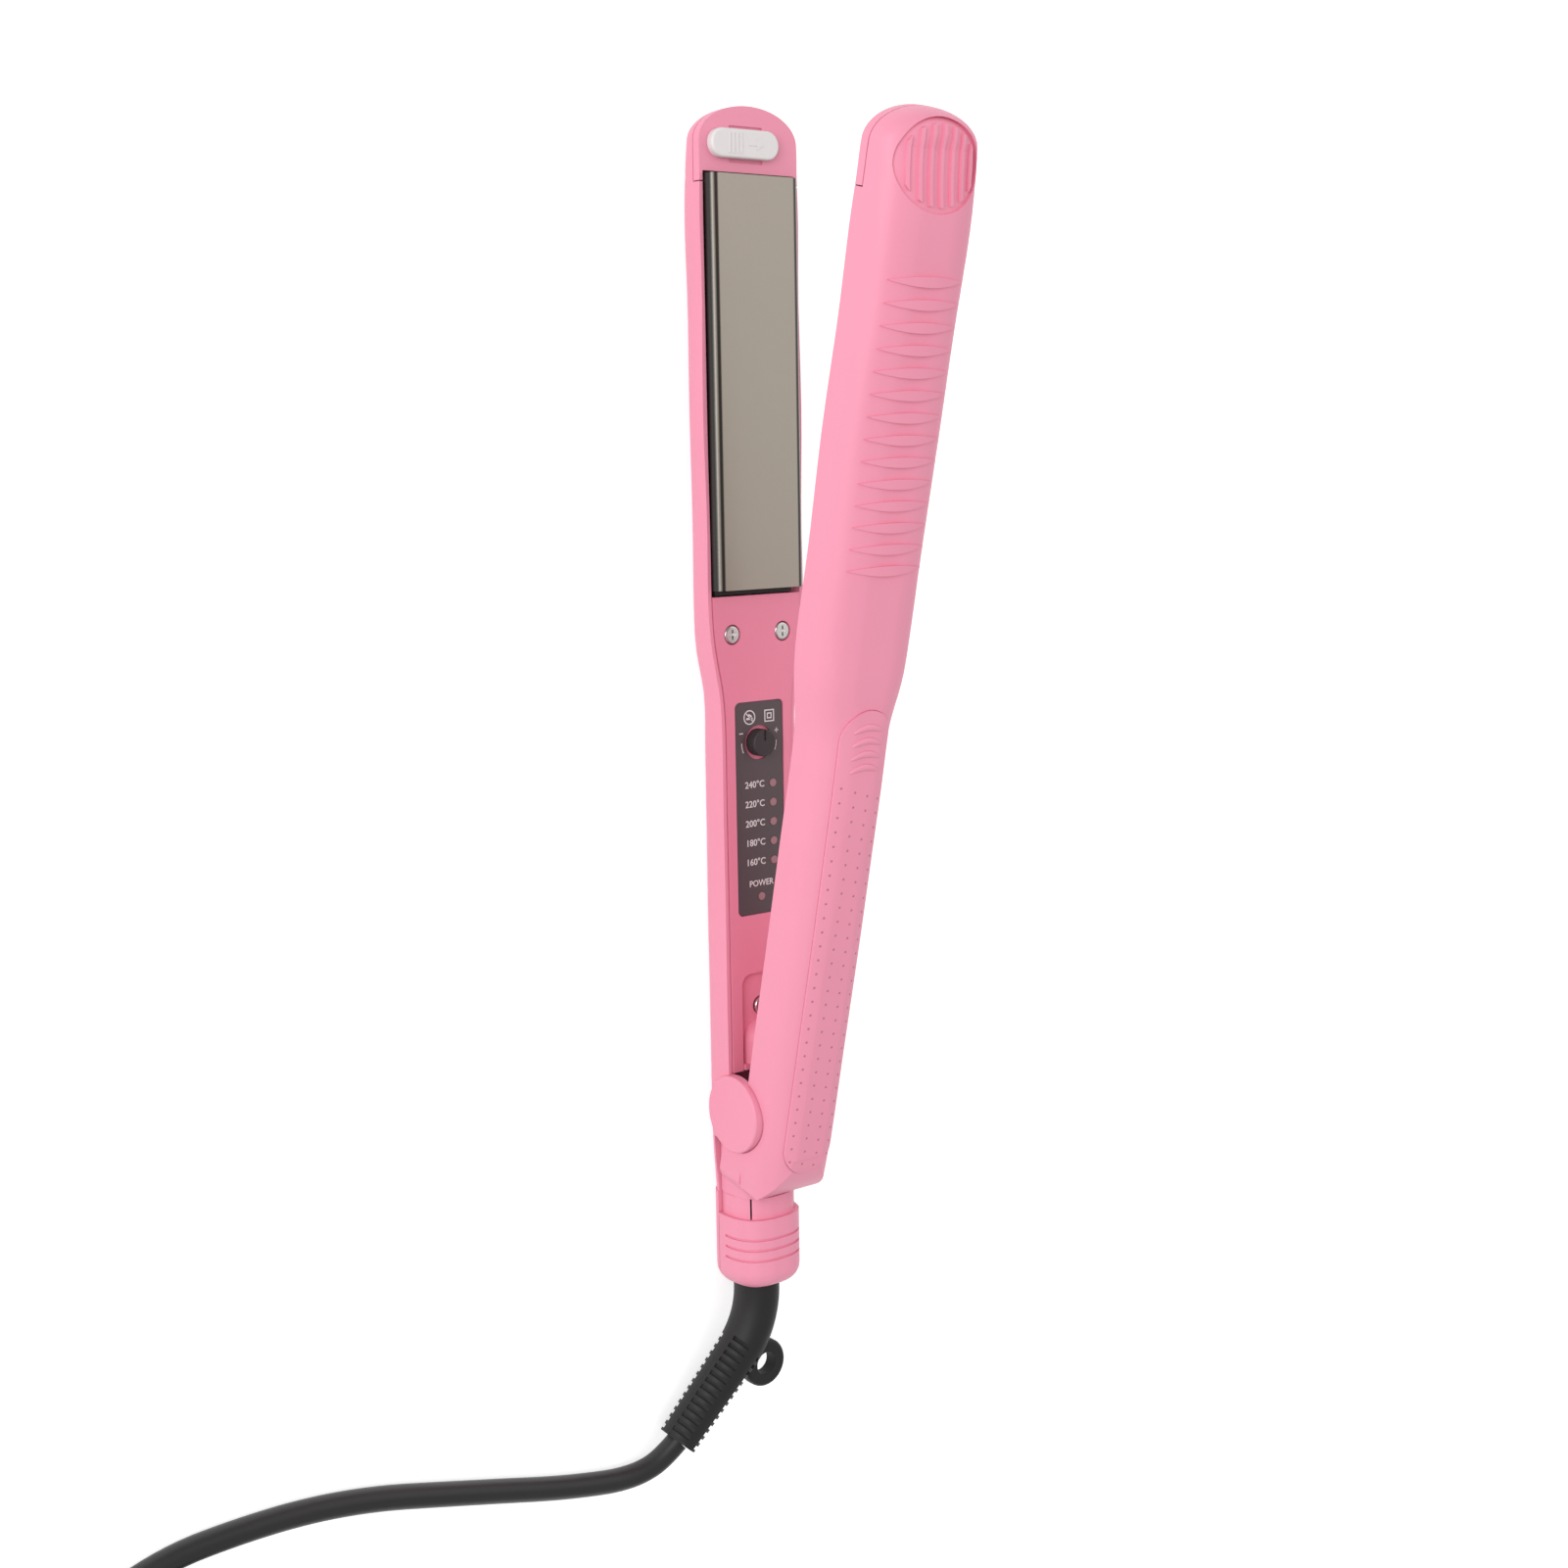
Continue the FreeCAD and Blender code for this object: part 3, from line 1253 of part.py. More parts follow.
def upper_grip_panel():
    """Grip panel whose hinge end follows the rounded end of the upper arm."""
    return largest(grip_panel().common(upper_outline(-0.1)))


lower_pieces = {
    "lower_shell": lower_shell,
    "lower_tip_cap": lower_tip_cap,
    "lock_slider": lock_slider,
    "lower_plate": heated_plate,
    "lower_heater": heater,
    "lower_heater_clamp": heater_clamp,
    "lower_sensors": sensor_pair,
    "lower_plate_carrier": plate_carrier,
    "lower_plate_springs": plate_springs,
    "lower_carrier_screws": carrier_screws,
    "lower_handle_cover": lower_handle_cover,
    "lower_cover_screws": cover_screws,
    "lower_grip_panel": grip_panel,
    "control_label": control_label,
    "temperature_lenses": temperature_lenses,
    "power_lens": power_lens,
    "circuit_board": circuit_board,
    "board_parts": board_parts,
    "dial_potentiometer": dial_potentiometer,
    "temp_dial": temp_dial,
    "lead_cover": lead_cover,
    "lower_leads": lower_leads,
    "hinge_pin": hinge_pin,
    "hinge_caps": hinge_caps,
    "opening_spring": opening_spring,
    "rear_cover": rear_cover,
    "rear_cover_screw": rear_cover_screw,
    "swivel_bush": swivel_bush,
    "contact_block": contact_block,
    "contact_leaves": contact_leaves,
    "swivel_barrel": swivel_barrel,
    "contact_rings": contact_rings,
    "strain_relief": strain_relief,
    "cord_coil": cord_coil,
    "plug_body": plug_body,
    "plug_pins": plug_pins,
}
upper_pieces = {
    "upper_shell": upper_shell,
    "upper_tip_cap": upper_tip_cap,
    "upper_plate": heated_plate,
    "upper_heater": heater,
    "upper_heater_clamp": heater_clamp,
    "upper_sensors": sensor_pair,
    "upper_plate_carrier": plate_carrier,
    "upper_plate_springs": plate_springs,
    "upper_carrier_screws": carrier_screws,
    "upper_handle_cover": handle_cover,
    "upper_cover_screws": cover_screws,
    "upper_grip_panel": upper_grip_panel,
    "upper_leads": upper_leads,
    "hinge_bushes": hinge_bushes,
}

nodes = {name: make() for name, make in lower_pieces.items()}
nodes.update({name: to_upper(make()) for name, make in upper_pieces.items()})
nodes["cord_lead"] = largest(tube(cord_points, "cord_lead").cut(nodes["cord_coil"]))
nodes["cord_tail"] = largest(tube(tail_points, "cord_tail").cut(nodes["cord_coil"]))

for name, shape in nodes.items():
    shape.exportStep("parts/" + name + ".step")
    print(name, "solids", len(shape.Solids), "valid", shape.isValid(),
          "volume", round(shape.Volume, 1))
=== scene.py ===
import math
import bpy
import bmesh
from bpy.props import (FloatProperty, FloatVectorProperty, IntProperty, PointerProperty,
                       StringProperty)
from mathutils import Matrix, Vector
from mathutils.bvhtree import BVHTree


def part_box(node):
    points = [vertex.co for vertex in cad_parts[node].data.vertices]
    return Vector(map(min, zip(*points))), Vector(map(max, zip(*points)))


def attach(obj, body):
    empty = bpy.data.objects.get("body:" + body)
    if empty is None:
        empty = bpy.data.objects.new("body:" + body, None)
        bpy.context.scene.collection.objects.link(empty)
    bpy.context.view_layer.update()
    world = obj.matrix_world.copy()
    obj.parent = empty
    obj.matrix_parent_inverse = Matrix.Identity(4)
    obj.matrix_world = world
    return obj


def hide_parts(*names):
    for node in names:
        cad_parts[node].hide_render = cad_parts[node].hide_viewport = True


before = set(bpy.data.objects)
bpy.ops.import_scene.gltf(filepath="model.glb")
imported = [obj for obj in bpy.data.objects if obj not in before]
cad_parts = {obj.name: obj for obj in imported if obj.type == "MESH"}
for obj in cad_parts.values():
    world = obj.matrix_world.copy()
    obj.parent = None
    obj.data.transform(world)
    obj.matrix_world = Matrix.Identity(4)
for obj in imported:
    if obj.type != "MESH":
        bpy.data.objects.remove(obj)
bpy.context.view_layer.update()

bl_info = {
    "name": "Hair straightener finish",
    "version": (1, 0, 0),
    "blender": (4, 5, 0),
    "location": "3D View > Sidebar > Straightener",
    "description": "Dresses the hair straightener with its cord, print, grip texture and finishes",
    "category": "Object",
}

MM = 0.001

# ---- places in the arms' own frame, metres ----
PLATE_X0 = 0.0323
HINGE = Vector((-0.1003, 0.0, 0.017))
OPEN_ANGLE = math.radians(12.9)
REAR_X = -0.1487


def upper_matrix():
    """Carries a point of the lower arm to the same point of the open upper arm."""
    mirror = Matrix.Diagonal((1, 1, -1, 1))
    turn = Matrix.Rotation(-OPEN_ANGLE, 4, "Y")
    return Matrix.Translation(HINGE) @ turn @ mirror @ Matrix.Translation(-HINGE)


# ---- settings a user would change ----
class CordSettings(bpy.types.PropertyGroup):
    diameter: FloatProperty(name="Diameter", description="Outside diameter of the cord",
                            default=0.006, unit="LENGTH")
    length: FloatProperty(name="Length", description="Whole length from strain relief to plug",
                          default=1.7, unit="LENGTH")
    coil_radius: FloatProperty(name="Coil radius", description="Middle radius of the coil",
                               default=0.031, unit="LENGTH")


class PrintSettings(bpy.types.PropertyGroup):
    digit_size: FloatProperty(name="Digit size", description="Height of the temperature digits",
                              default=0.00172, unit="LENGTH")
    word_size: FloatProperty(name="Word size", description="Height of the power word",
                             default=0.0016, unit="LENGTH")
    thickness: FloatProperty(name="Ink thickness", description="Thickness of the printed ink",
                             default=0.00003, unit="LENGTH")
    degrees: StringProperty(name="Degree sign", description="Unit after each temperature",
                            default="°C")


class GripSettings(bpy.types.PropertyGroup):
    dot_rows: IntProperty(name="Dot rows", description="Rows of dots along the grip",
                          default=28, min=1)
    dot_columns: IntProperty(name="Dot columns", description="Columns of dots across the grip",
                             default=4, min=1)
    row_pitch: FloatProperty(name="Row pitch", description="Distance between rows of dots",
                             default=0.0037, unit="LENGTH")
    column_pitch: FloatProperty(name="Column pitch", description="Distance between columns",
                                default=0.004, unit="LENGTH")
    dot_radius: FloatProperty(name="Dot radius", description="Radius of one grip dot",
                              default=0.00032, unit="LENGTH")
    dot_height: FloatProperty(name="Dot height", description="Height of one grip dot",
                              default=0.00012, unit="LENGTH")
    ridges: IntProperty(name="Ridges", description="Curved ridges at the front of the grip",
                        default=4, min=0)


class FinishSettings(bpy.types.PropertyGroup):
    pink: FloatVectorProperty(name="Shell pink", description="Colour of the arms' shells",
                              default=(0.85, 0.300, 0.425), subtype="COLOR", size=3)
    cover_pink: FloatVectorProperty(name="Cover pink", description="Colour of the inner covers",
                                    default=(0.83, 0.255, 0.375), subtype="COLOR", size=3)
    plate: FloatVectorProperty(name="Plate", description="Colour of the coated plates",
                               default=(0.36, 0.32, 0.27), subtype="COLOR", size=3)
    rubber: FloatVectorProperty(name="Rubber", description="Colour of the cord and its relief",
                                default=(0.011, 0.010, 0.011), subtype="COLOR", size=3)
    label: FloatVectorProperty(name="Label", description="Colour of the control label",
                               default=(0.085, 0.066, 0.071), subtype="COLOR", size=3)


class StageSettings(bpy.types.PropertyGroup):
    key_power: FloatProperty(name="Key light", description="Power of the main soft light",
                             default=8.4, unit="POWER")
    fill_power: FloatProperty(name="Fill light", description="Power of the fill light",
                              default=3.0, unit="POWER")
    ambient: FloatProperty(name="Ambient", description="Strength of the surrounding light",
                           default=0.62, min=0.0)
    lens: FloatProperty(name="Lens", description="Focal length of the camera in millimetres",
                        default=51.93)


# ---- shader node groups ----
FINE_DETAIL = 3.0
BROAD_SCALE = 38.0
BROAD_DETAIL = 4.0
GRAIN_BUMP = 0.00012
SPECK_SHARE = 0.12


def group_socket(tree, name, direction, kind, default=None):
    socket = tree.interface.new_socket(name=name, in_out=direction, socket_type=kind)
    if default is not None:
        socket.default_value = default
    return socket


def grain_group():
    """Fine moulded grain: a bump normal, a tone mask and a roughness value."""
    tree = bpy.data.node_groups.new("Moulded grain", "ShaderNodeTree")
    group_socket(tree, "Scale", "INPUT", "NodeSocketFloat", 2200.0)
    group_socket(tree, "Depth", "INPUT", "NodeSocketFloat", 0.1)
    group_socket(tree, "Rough low", "INPUT", "NodeSocketFloat", 0.4)
    group_socket(tree, "Rough high", "INPUT", "NodeSocketFloat", 0.5)
    group_socket(tree, "Tone", "OUTPUT", "NodeSocketFloat")
    group_socket(tree, "Roughness", "OUTPUT", "NodeSocketFloat")
    group_socket(tree, "Normal", "OUTPUT", "NodeSocketVector")
    nodes, links = tree.nodes, tree.links
    source = nodes.new("NodeGroupInput")
    sink = nodes.new("NodeGroupOutput")
    place = nodes.new("ShaderNodeTexCoord")
    fine = nodes.new("ShaderNodeTexNoise")
    fine.inputs["Detail"].default_value = FINE_DETAIL
    broad = nodes.new("ShaderNodeTexNoise")
    broad.inputs["Scale"].default_value = BROAD_SCALE
    broad.inputs["Detail"].default_value = BROAD_DETAIL
    bump = nodes.new("ShaderNodeBump")
    bump.inputs["Distance"].default_value = GRAIN_BUMP
    spread = nodes.new("ShaderNodeMapRange")
    links.new(place.outputs["Object"], fine.inputs["Vector"])
    links.new(place.outputs["Object"], broad.inputs["Vector"])
    links.new(source.outputs["Scale"], fine.inputs["Scale"])
    links.new(fine.outputs["Fac"], bump.inputs["Height"])
    links.new(source.outputs["Depth"], bump.inputs["Strength"])
    links.new(broad.outputs["Fac"], spread.inputs["Value"])
    links.new(source.outputs["Rough low"], spread.inputs["To Min"])
    links.new(source.outputs["Rough high"], spread.inputs["To Max"])
    links.new(broad.outputs["Fac"], sink.inputs["Tone"])
    links.new(spread.outputs["Result"], sink.inputs["Roughness"])
    links.new(bump.outputs["Normal"], sink.inputs["Normal"])
    return tree


def speck_group():
    """Sparse small specks of dust, as a mask."""
    tree = bpy.data.node_groups.new("Dust specks", "ShaderNodeTree")
    group_socket(tree, "Scale", "INPUT", "NodeSocketFloat", 260.0)
    group_socket(tree, "Size", "INPUT", "NodeSocketFloat", 0.06)
    group_socket(tree, "Mask", "OUTPUT", "NodeSocketFloat")
    nodes, links = tree.nodes, tree.links
    source = nodes.new("NodeGroupInput")
    sink = nodes.new("NodeGroupOutput")
    place = nodes.new("ShaderNodeTexCoord")
    cells = nodes.new("ShaderNodeTexVoronoi")
    near = nodes.new("ShaderNodeMath")
    near.operation = "LESS_THAN"
    pick = nodes.new("ShaderNodeSeparateColor")
    few = nodes.new("ShaderNodeMath")
    few.operation = "GREATER_THAN"
    few.inputs[1].default_value = 1.0 - SPECK_SHARE
    both = nodes.new("ShaderNodeMath")
    both.operation = "MULTIPLY"
    links.new(place.outputs["Object"], cells.inputs["Vector"])
    links.new(source.outputs["Scale"], cells.inputs["Scale"])
    links.new(cells.outputs["Distance"], near.inputs[0])
    links.new(source.outputs["Size"], near.inputs[1])
    links.new(cells.outputs["Color"], pick.inputs["Color"])
    links.new(pick.outputs["Red"], few.inputs[0])
    links.new(near.outputs["Value"], both.inputs[0])
    links.new(few.outputs["Value"], both.inputs[1])
    links.new(both.outputs["Value"], sink.inputs["Mask"])
    return tree


def shared_group(name, maker):
    return bpy.data.node_groups.get(name) or maker()


def start_material(name):
    material = bpy.data.materials.new(name)
    material.use_nodes = True
    shader = material.node_tree.nodes["Principled BSDF"]
    return material, shader


COAT_ROUGHNESS = 0.15
SPECK_GAIN = 1.25
SPECK_LIFT = 0.03
LINE_SCALE = 3.0
LINE_DETAIL = 5.0
LINE_TONES = (0.85, 1.1)
LINE_BUMP = 0.0001
LINE_STRENGTH = 0.08
# painted reflection along the plate's long edges, dark and bright bands in the colour: mm from its
# middle, brightness
PLATE_PAINTED_REFLECTIONS = [(11.4, 1.0), (11.8, 0.10), (12.35, 0.08), (12.6, 0.62), (12.95, 0.62),
               (13.2, 0.08), (13.6, 0.05)]


def moulded(name, colour, shade=0.93, scale=2200.0, depth=0.1, rough=(0.4, 0.5), coat=0.0,
            specks=0.0, metallic=0.0, shine=0.5, painted_bands=()):
    """Moulded or coated surface with grain, a slight drift of tone, optional specks and optional
    painted reflection bands along the long edges.
    """
    material, shader = start_material(name)
    nodes, links = material.node_tree.nodes, material.node_tree.links
    grain = nodes.new("ShaderNodeGroup")
    grain.node_tree = shared_group("Moulded grain", grain_group)
    grain.inputs["Scale"].default_value = scale
    grain.inputs["Depth"].default_value = depth
    grain.inputs["Rough low"].default_value = rough[0]
    grain.inputs["Rough high"].default_value = rough[1]
    tone = nodes.new("ShaderNodeMix")
    tone.data_type = "RGBA"
    tone.inputs["A"].default_value = (*[c * shade for c in colour], 1.0)
    tone.inputs["B"].default_value = (*[min(1.0, c * (2.0 - shade)) for c in colour], 1.0)
    links.new(grain.outputs["Tone"], tone.inputs["Factor"])
    result = tone.outputs["Result"]
    if specks:
        dust = nodes.new("ShaderNodeGroup")
        dust.node_tree = shared_group("Dust specks", speck_group)
        dust.inputs["Size"].default_value = specks
        over = nodes.new("ShaderNodeMix")
        over.data_type = "RGBA"
        pale = [min(1.0, c * SPECK_GAIN + SPECK_LIFT) for c in colour]
        over.inputs["B"].default_value = (*pale, 1.0)
        links.new(dust.outputs["Mask"], over.inputs["Factor"])
        links.new(result, over.inputs["A"])
        result = over.outputs["Result"]
    # painted reflection: dark and bright bands multiplied into the colour along the long edges
    if painted_bands:
        result = edge_bands(material, result, painted_bands)
    links.new(result, shader.inputs["Base Color"])
    links.new(grain.outputs["Roughness"], shader.inputs["Roughness"])
    links.new(grain.outputs["Normal"], shader.inputs["Normal"])
    shader.inputs["Coat Weight"].default_value = coat
    shader.inputs["Coat Roughness"].default_value = COAT_ROUGHNESS
    shader.inputs["Metallic"].default_value = metallic
    shader.inputs["Specular IOR Level"].default_value = shine
    return material


def edge_bands(material, result, painted_bands):
    """Painted reflection: dark and bright bands of colour along both long edges, given as
    (distance from the middle in mm, tone).
    """
    nodes, links = material.node_tree.nodes, material.node_tree.links
    place = nodes.new("ShaderNodeTexCoord")
    split = nodes.new("ShaderNodeSeparateXYZ")
    apart = nodes.new("ShaderNodeMath")
    apart.operation = "ABSOLUTE"
    reach = nodes.new("ShaderNodeMapRange")
    reach.inputs["From Min"].default_value = painted_bands[0][0] * MM
    reach.inputs["From Max"].default_value = painted_bands[-1][0] * MM
    ramp = nodes.new("ShaderNodeValToRGB")
    steps = ramp.color_ramp.elements
    first, last = painted_bands[0], painted_bands[-1]
    steps[0].color = (first[1], first[1], first[1], 1.0)
    steps[1].color = (last[1], last[1], last[1], 1.0)
    for distance, tone in painted_bands[1:-1]:
        step = steps.new((distance - first[0]) / (last[0] - first[0]))
        step.color = (tone, tone, tone, 1.0)
    shade = nodes.new("ShaderNodeMix")
    shade.data_type = "RGBA"
    shade.blend_type = "MULTIPLY"
    shade.inputs["Factor"].default_value = 1.0
    links.new(place.outputs["Object"], split.inputs["Vector"])
    links.new(split.outputs["Y"], apart.inputs[0])
    links.new(apart.outputs["Value"], reach.inputs["Value"])
    links.new(reach.outputs["Result"], ramp.inputs["Fac"])
    links.new(result, shade.inputs["A"])
    links.new(ramp.outputs["Color"], shade.inputs["B"])
    return shade.outputs["Result"]


def drawn_metal(name, colour, rough=(0.25, 0.4), across=(900.0, 60.0, 900.0)):
    """Metal with fine lines drawn along one direction."""
    material, shader = start_material(name)
    nodes, links = material.node_tree.nodes, material.node_tree.links
    place = nodes.new("ShaderNodeTexCoord")
    stretch = nodes.new("ShaderNodeMapping")
    stretch.inputs["Scale"].default_value = across
    lines = nodes.new("ShaderNodeTexNoise")
    lines.inputs["Scale"].default_value = LINE_SCALE
    lines.inputs["Detail"].default_value = LINE_DETAIL
    spread = nodes.new("ShaderNodeMapRange")
    spread.inputs["To Min"].default_value = rough[0]
    spread.inputs["To Max"].default_value = rough[1]
    tone = nodes.new("ShaderNodeMix")
    tone.data_type = "RGBA"
    dark, bright = LINE_TONES
    tone.inputs["A"].default_value = (*[c * dark for c in colour], 1.0)
    tone.inputs["B"].default_value = (*[min(1.0, c * bright) for c in colour], 1.0)
    bump = nodes.new("ShaderNodeBump")
    bump.inputs["Strength"].default_value = LINE_STRENGTH
    bump.inputs["Distance"].default_value = LINE_BUMP
    links.new(place.outputs["Object"], stretch.inputs["Vector"])
    links.new(stretch.outputs["Vector"], lines.inputs["Vector"])
    links.new(lines.outputs["Fac"], spread.inputs["Value"])
    links.new(lines.outputs["Fac"], tone.inputs["Factor"])
    links.new(lines.outputs["Fac"], bump.inputs["Height"])
    links.new(tone.outputs["Result"], shader.inputs["Base Color"])
    links.new(spread.outputs["Result"], shader.inputs["Roughness"])
    links.new(bump.outputs["Normal"], shader.inputs["Normal"])
    shader.inputs["Metallic"].default_value = 1.0
    return material


FINISHES = {
    "shell_pink": ["lower_shell", "upper_shell", "rear_cover", "hinge_caps", "lower_grip_panel",
                   "upper_grip_panel", "lower_tip_cap", "upper_tip_cap"],
    "cover_pink": ["lower_handle_cover", "upper_handle_cover", "lead_cover"],
    "coated_plate": ["lower_plate", "upper_plate"],
    "carrier_black": ["lower_plate_carrier", "upper_plate_carrier", "swivel_barrel",
                      "swivel_bush"],
    "label_film": ["control_label"],
    "knob_black": ["temp_dial", "dial_potentiometer"],
    "slider_white": ["lock_slider"],
    "lamp_lens": ["temperature_lenses", "power_lens"],
    "board_green": ["circuit_board"],
    "chip_dark": ["board_parts", "contact_block", "lower_sensors", "upper_sensors"],
    "lead_black": ["lower_leads", "upper_leads"],
    "screw_steel": ["lower_carrier_screws", "upper_carrier_screws", "lower_cover_screws",
                    "upper_cover_screws", "rear_cover_screw", "hinge_pin", "plug_pins"],
    "spring_steel": ["lower_plate_springs", "upper_plate_springs", "opening_spring"],
    "clamp_steel": ["lower_heater_clamp", "upper_heater_clamp"],
    "contact_brass": ["hinge_bushes", "contact_rings", "contact_leaves"],
    "heater_ceramic": ["lower_heater", "upper_heater"],
    "relief_rubber": ["strain_relief", "plug_body"],
}


def make_finishes():
    look = bpy.context.scene.straightener_finish
    return {
        "shell_pink": moulded("shell_pink", look.pink, 0.96, 2600.0, 0.16, (0.42, 0.52),
                              specks=0.02),
        "cover_pink": moulded("cover_pink", look.cover_pink, 0.96, 2600.0, 0.12, (0.38, 0.48)),
        # the plates carry painted reflection bands along their long edges
        "coated_plate": moulded("coated_plate", look.plate, 0.96, 1500.0, 0.06, (0.26, 0.34),
                                coat=0.1, specks=0.03, metallic=0.35, painted_bands=PLATE_PAINTED_REFLECTIONS),
        "carrier_black": moulded("carrier_black", (0.030, 0.026, 0.026), 0.9, 1800.0, 0.15,
                                 (0.5, 0.62)),
        "label_film": moulded("label_film", look.label, 0.95, 3000.0, 0.05, (0.34, 0.42),
                              specks=0.02),
        "knob_black": moulded("knob_black", (0.035, 0.030, 0.032), 0.9, 1600.0, 0.2,
                              (0.5, 0.6)),
        "slider_white": moulded("slider_white", (0.76, 0.74, 0.74), 0.98, 2400.0, 0.08,
                                (0.35, 0.45)),
        "lamp_lens": moulded("lamp_lens", (0.34, 0.17, 0.19), 0.9, 900.0, 0.1, (0.25, 0.4),
                             coat=0.4),
        "board_green": moulded("board_green", (0.03, 0.16, 0.07), 0.85, 700.0, 0.1,
                               (0.35, 0.5)),
        "chip_dark": moulded("chip_dark", (0.04, 0.04, 0.045), 0.85, 900.0, 0.1, (0.45, 0.6)),
        "lead_black": moulded("lead_black", (0.03, 0.03, 0.03), 0.9, 1200.0, 0.1, (0.45, 0.55)),
        "screw_steel": drawn_metal("screw_steel", (0.6, 0.58, 0.57), (0.18, 0.3)),
        "spring_steel": drawn_metal("spring_steel", (0.5, 0.5, 0.5), (0.3, 0.45)),
        "clamp_steel": drawn_metal("clamp_steel", (0.62, 0.62, 0.62), (0.35, 0.5)),
        "contact_brass": drawn_metal("contact_brass", (0.72, 0.5, 0.2), (0.28, 0.42)),
        "heater_ceramic": moulded("heater_ceramic", (0.72, 0.7, 0.66), 0.95, 1000.0, 0.15,
                                  (0.6, 0.7)),
        "relief_rubber": moulded("relief_rubber", look.rubber, 0.9, 1500.0, 0.2, (0.48, 0.6),
                                 shine=0.38),
    }


# ---- mesh helpers ----
MERGE_DISTANCE = 1e-7


def add_mesh(name, vertices, faces, material, body, matrix=None):
    """New piece from plain vertices and faces, riding on a body."""
    mesh = bpy.data.meshes.new(name)
    if matrix:
        vertices = [matrix @ Vector(v) for v in vertices]
    mesh.from_pydata([tuple(v) for v in vertices], [], faces)
    work = bmesh.new()
    work.from_mesh(mesh)
    bmesh.ops.remove_doubles(work, verts=work.verts, dist=MERGE_DISTANCE)
    bmesh.ops.recalc_face_normals(work, faces=work.faces)
    work.to_mesh(mesh)
    work.free()
    mesh.shade_smooth()
    return finish_piece(name, mesh, material, body)


def finish_piece(name, mesh, material, body):
    piece = bpy.data.objects.new(name, mesh)
    bpy.context.scene.collection.objects.link(piece)
    mesh.materials.clear()
    mesh.materials.append(material)
    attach(piece, body)
    return piece


def node_surface(node):
    """Search tree over a CAD node's own triangles."""
    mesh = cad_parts[node].data
    mesh.calc_loop_triangles()
    corners = [v.co.copy() for v in mesh.vertices]
    return BVHTree.FromPolygons(corners, [tuple(t.vertices) for t in mesh.loop_triangles])


# ---- cord; the routes are in mm ----
RELIEF_END = Vector((REAR_X - 0.0396, 0.0245, 0.0058))
LEAD_ROUTE = [
    (-43.2, 28.6, 5.1), (-45.6, 34.2, 4.3), (-46.0, 41.5, 3.6), (-44.6, 50.5, 3.1),
    (-42.2, 61.5, 3.0), (-38.4, 75.5, 3.0), (-33.9, 92.5, 3.0), (-29.2, 110.5, 3.0),
    (-26.6, 128.0, 3.0), (-26.1, 145.5, 3.0), (-27.0, 163.0, 3.0), (-33.0, 180.0, 3.0),
    (-45.5, 193.5, 3.0), (-62.0, 201.5, 3.0),
]
COIL_CENTRE = Vector((REAR_X - 0.082, 0.166, 0.0))
TAIL_ROUTE = [(-2.5, -17.0, 11.5), (-6.0, -34.0, 6.0), (-11.0, -50.0, 3.3), (-18.5, -64.0, 3.6)]
# each turn of the coil: cord widths out from its middle radius, cord widths above the table
COIL_TURNS = [(1, 0.5), (0, 0.5), (-1, 0.5), (-1, 1.5), (0, 1.5), (1, 1.5), (0, 2.5), (1, 2.5)]
LAST_TURN = 0.25
POINTS_PER_TURN = 16
CROSSING_START = 0.7


def coil_points(settings):
    """Turns of the coil: in along the table, out in the middle, then the top layer."""
    step = settings.diameter
    rings = [(settings.coil_radius + out * step, level) for out, level in COIL_TURNS]
    points = []
    total = int(POINTS_PER_TURN * (len(rings) - 1 + LAST_TURN))
    for i in range(total + 1):
        turn = i / POINTS_PER_TURN
        index = min(int(turn), len(rings) - 1)
        share = turn - index
        following = rings[min(index + 1, len(rings) - 1)]
        ease = max(0.0, (share - CROSSING_START) / (1 - CROSSING_START))
        ease = ease * ease * (3 - 2 * ease)
        radius = rings[index][0] + ease * (following[0] - rings[index][0])
        height = step * (rings[index][1] + ease * (following[1] - rings[index][1]))
        angle = math.pi / 2 + 2 * math.pi * turn
        points.append(COIL_CENTRE + Vector((radius * math.cos(angle), radius * math.sin(angle),
                                            height)))
    return points


def cord_route(settings):
    origin = Vector((REAR_X, 0, 0))
    route = [RELIEF_END] + [origin + Vector(p) * MM for p in LEAD_ROUTE]
    turns = coil_points(settings)
    start = COIL_CENTRE + Vector((-settings.coil_radius - settings.diameter, 0, 0))
    tail = [start + Vector(p) * MM for p in TAIL_ROUTE]
    return route + turns + tail


def make_cord(material):
    settings = bpy.context.scene.straightener_cord
    route = cord_route(settings)
    curve = bpy.data.curves.new("mains_cord", "CURVE")
    curve.dimensions = "3D"
    spline = curve.splines.new("NURBS")
    spline.points.add(len(route) - 1)
    for point, place in zip(spline.points, route):
        point.co = (*place, 1.0)
    spline.order_u = 3
    spline.use_endpoint_u = True
    spline.resolution_u = 6
    curve.bevel_depth = settings.diameter / 2
    curve.bevel_resolution = 5
    curve.use_fill_caps = True
    curve.materials.append(material)
    cord = bpy.data.objects.new("mains_cord", curve)
    bpy.context.scene.collection.objects.link(cord)
    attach(cord, "cord")
    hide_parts("cord_lead", "cord_coil", "cord_tail")
    return cord


# ---- label print, in the lower arm's own frame ----
LABEL_TOP = 0.01415
LAMP_X = [PLATE_X0 - (49.4 + 4.96 * i) * MM for i in range(5)]
POWER_X = PLATE_X0 - 78.2 * MM
DIAL_X = PLATE_X0 - 38.7 * MM
TEMPERATURES = (240, 220, 200, 180, 160)
DIGITS_Y = 1.6 * MM
WORD_ABOVE_LAMP = 3.4 * MM
CAP_SHARE = 0.72
BOLD = 0.012
ICON_X = PLATE_X0 - 32.2 * MM
ROUND_ICON_Y = 2.9 * MM
SQUARE_ICON_Y = -3.4 * MM
ROUND = [(math.cos(math.tau * i / 32), math.sin(math.tau * i / 32)) for i in range(32)]
SQUARE = [(-1, -1), (1, -1), (1, 1), (-1, 1)]
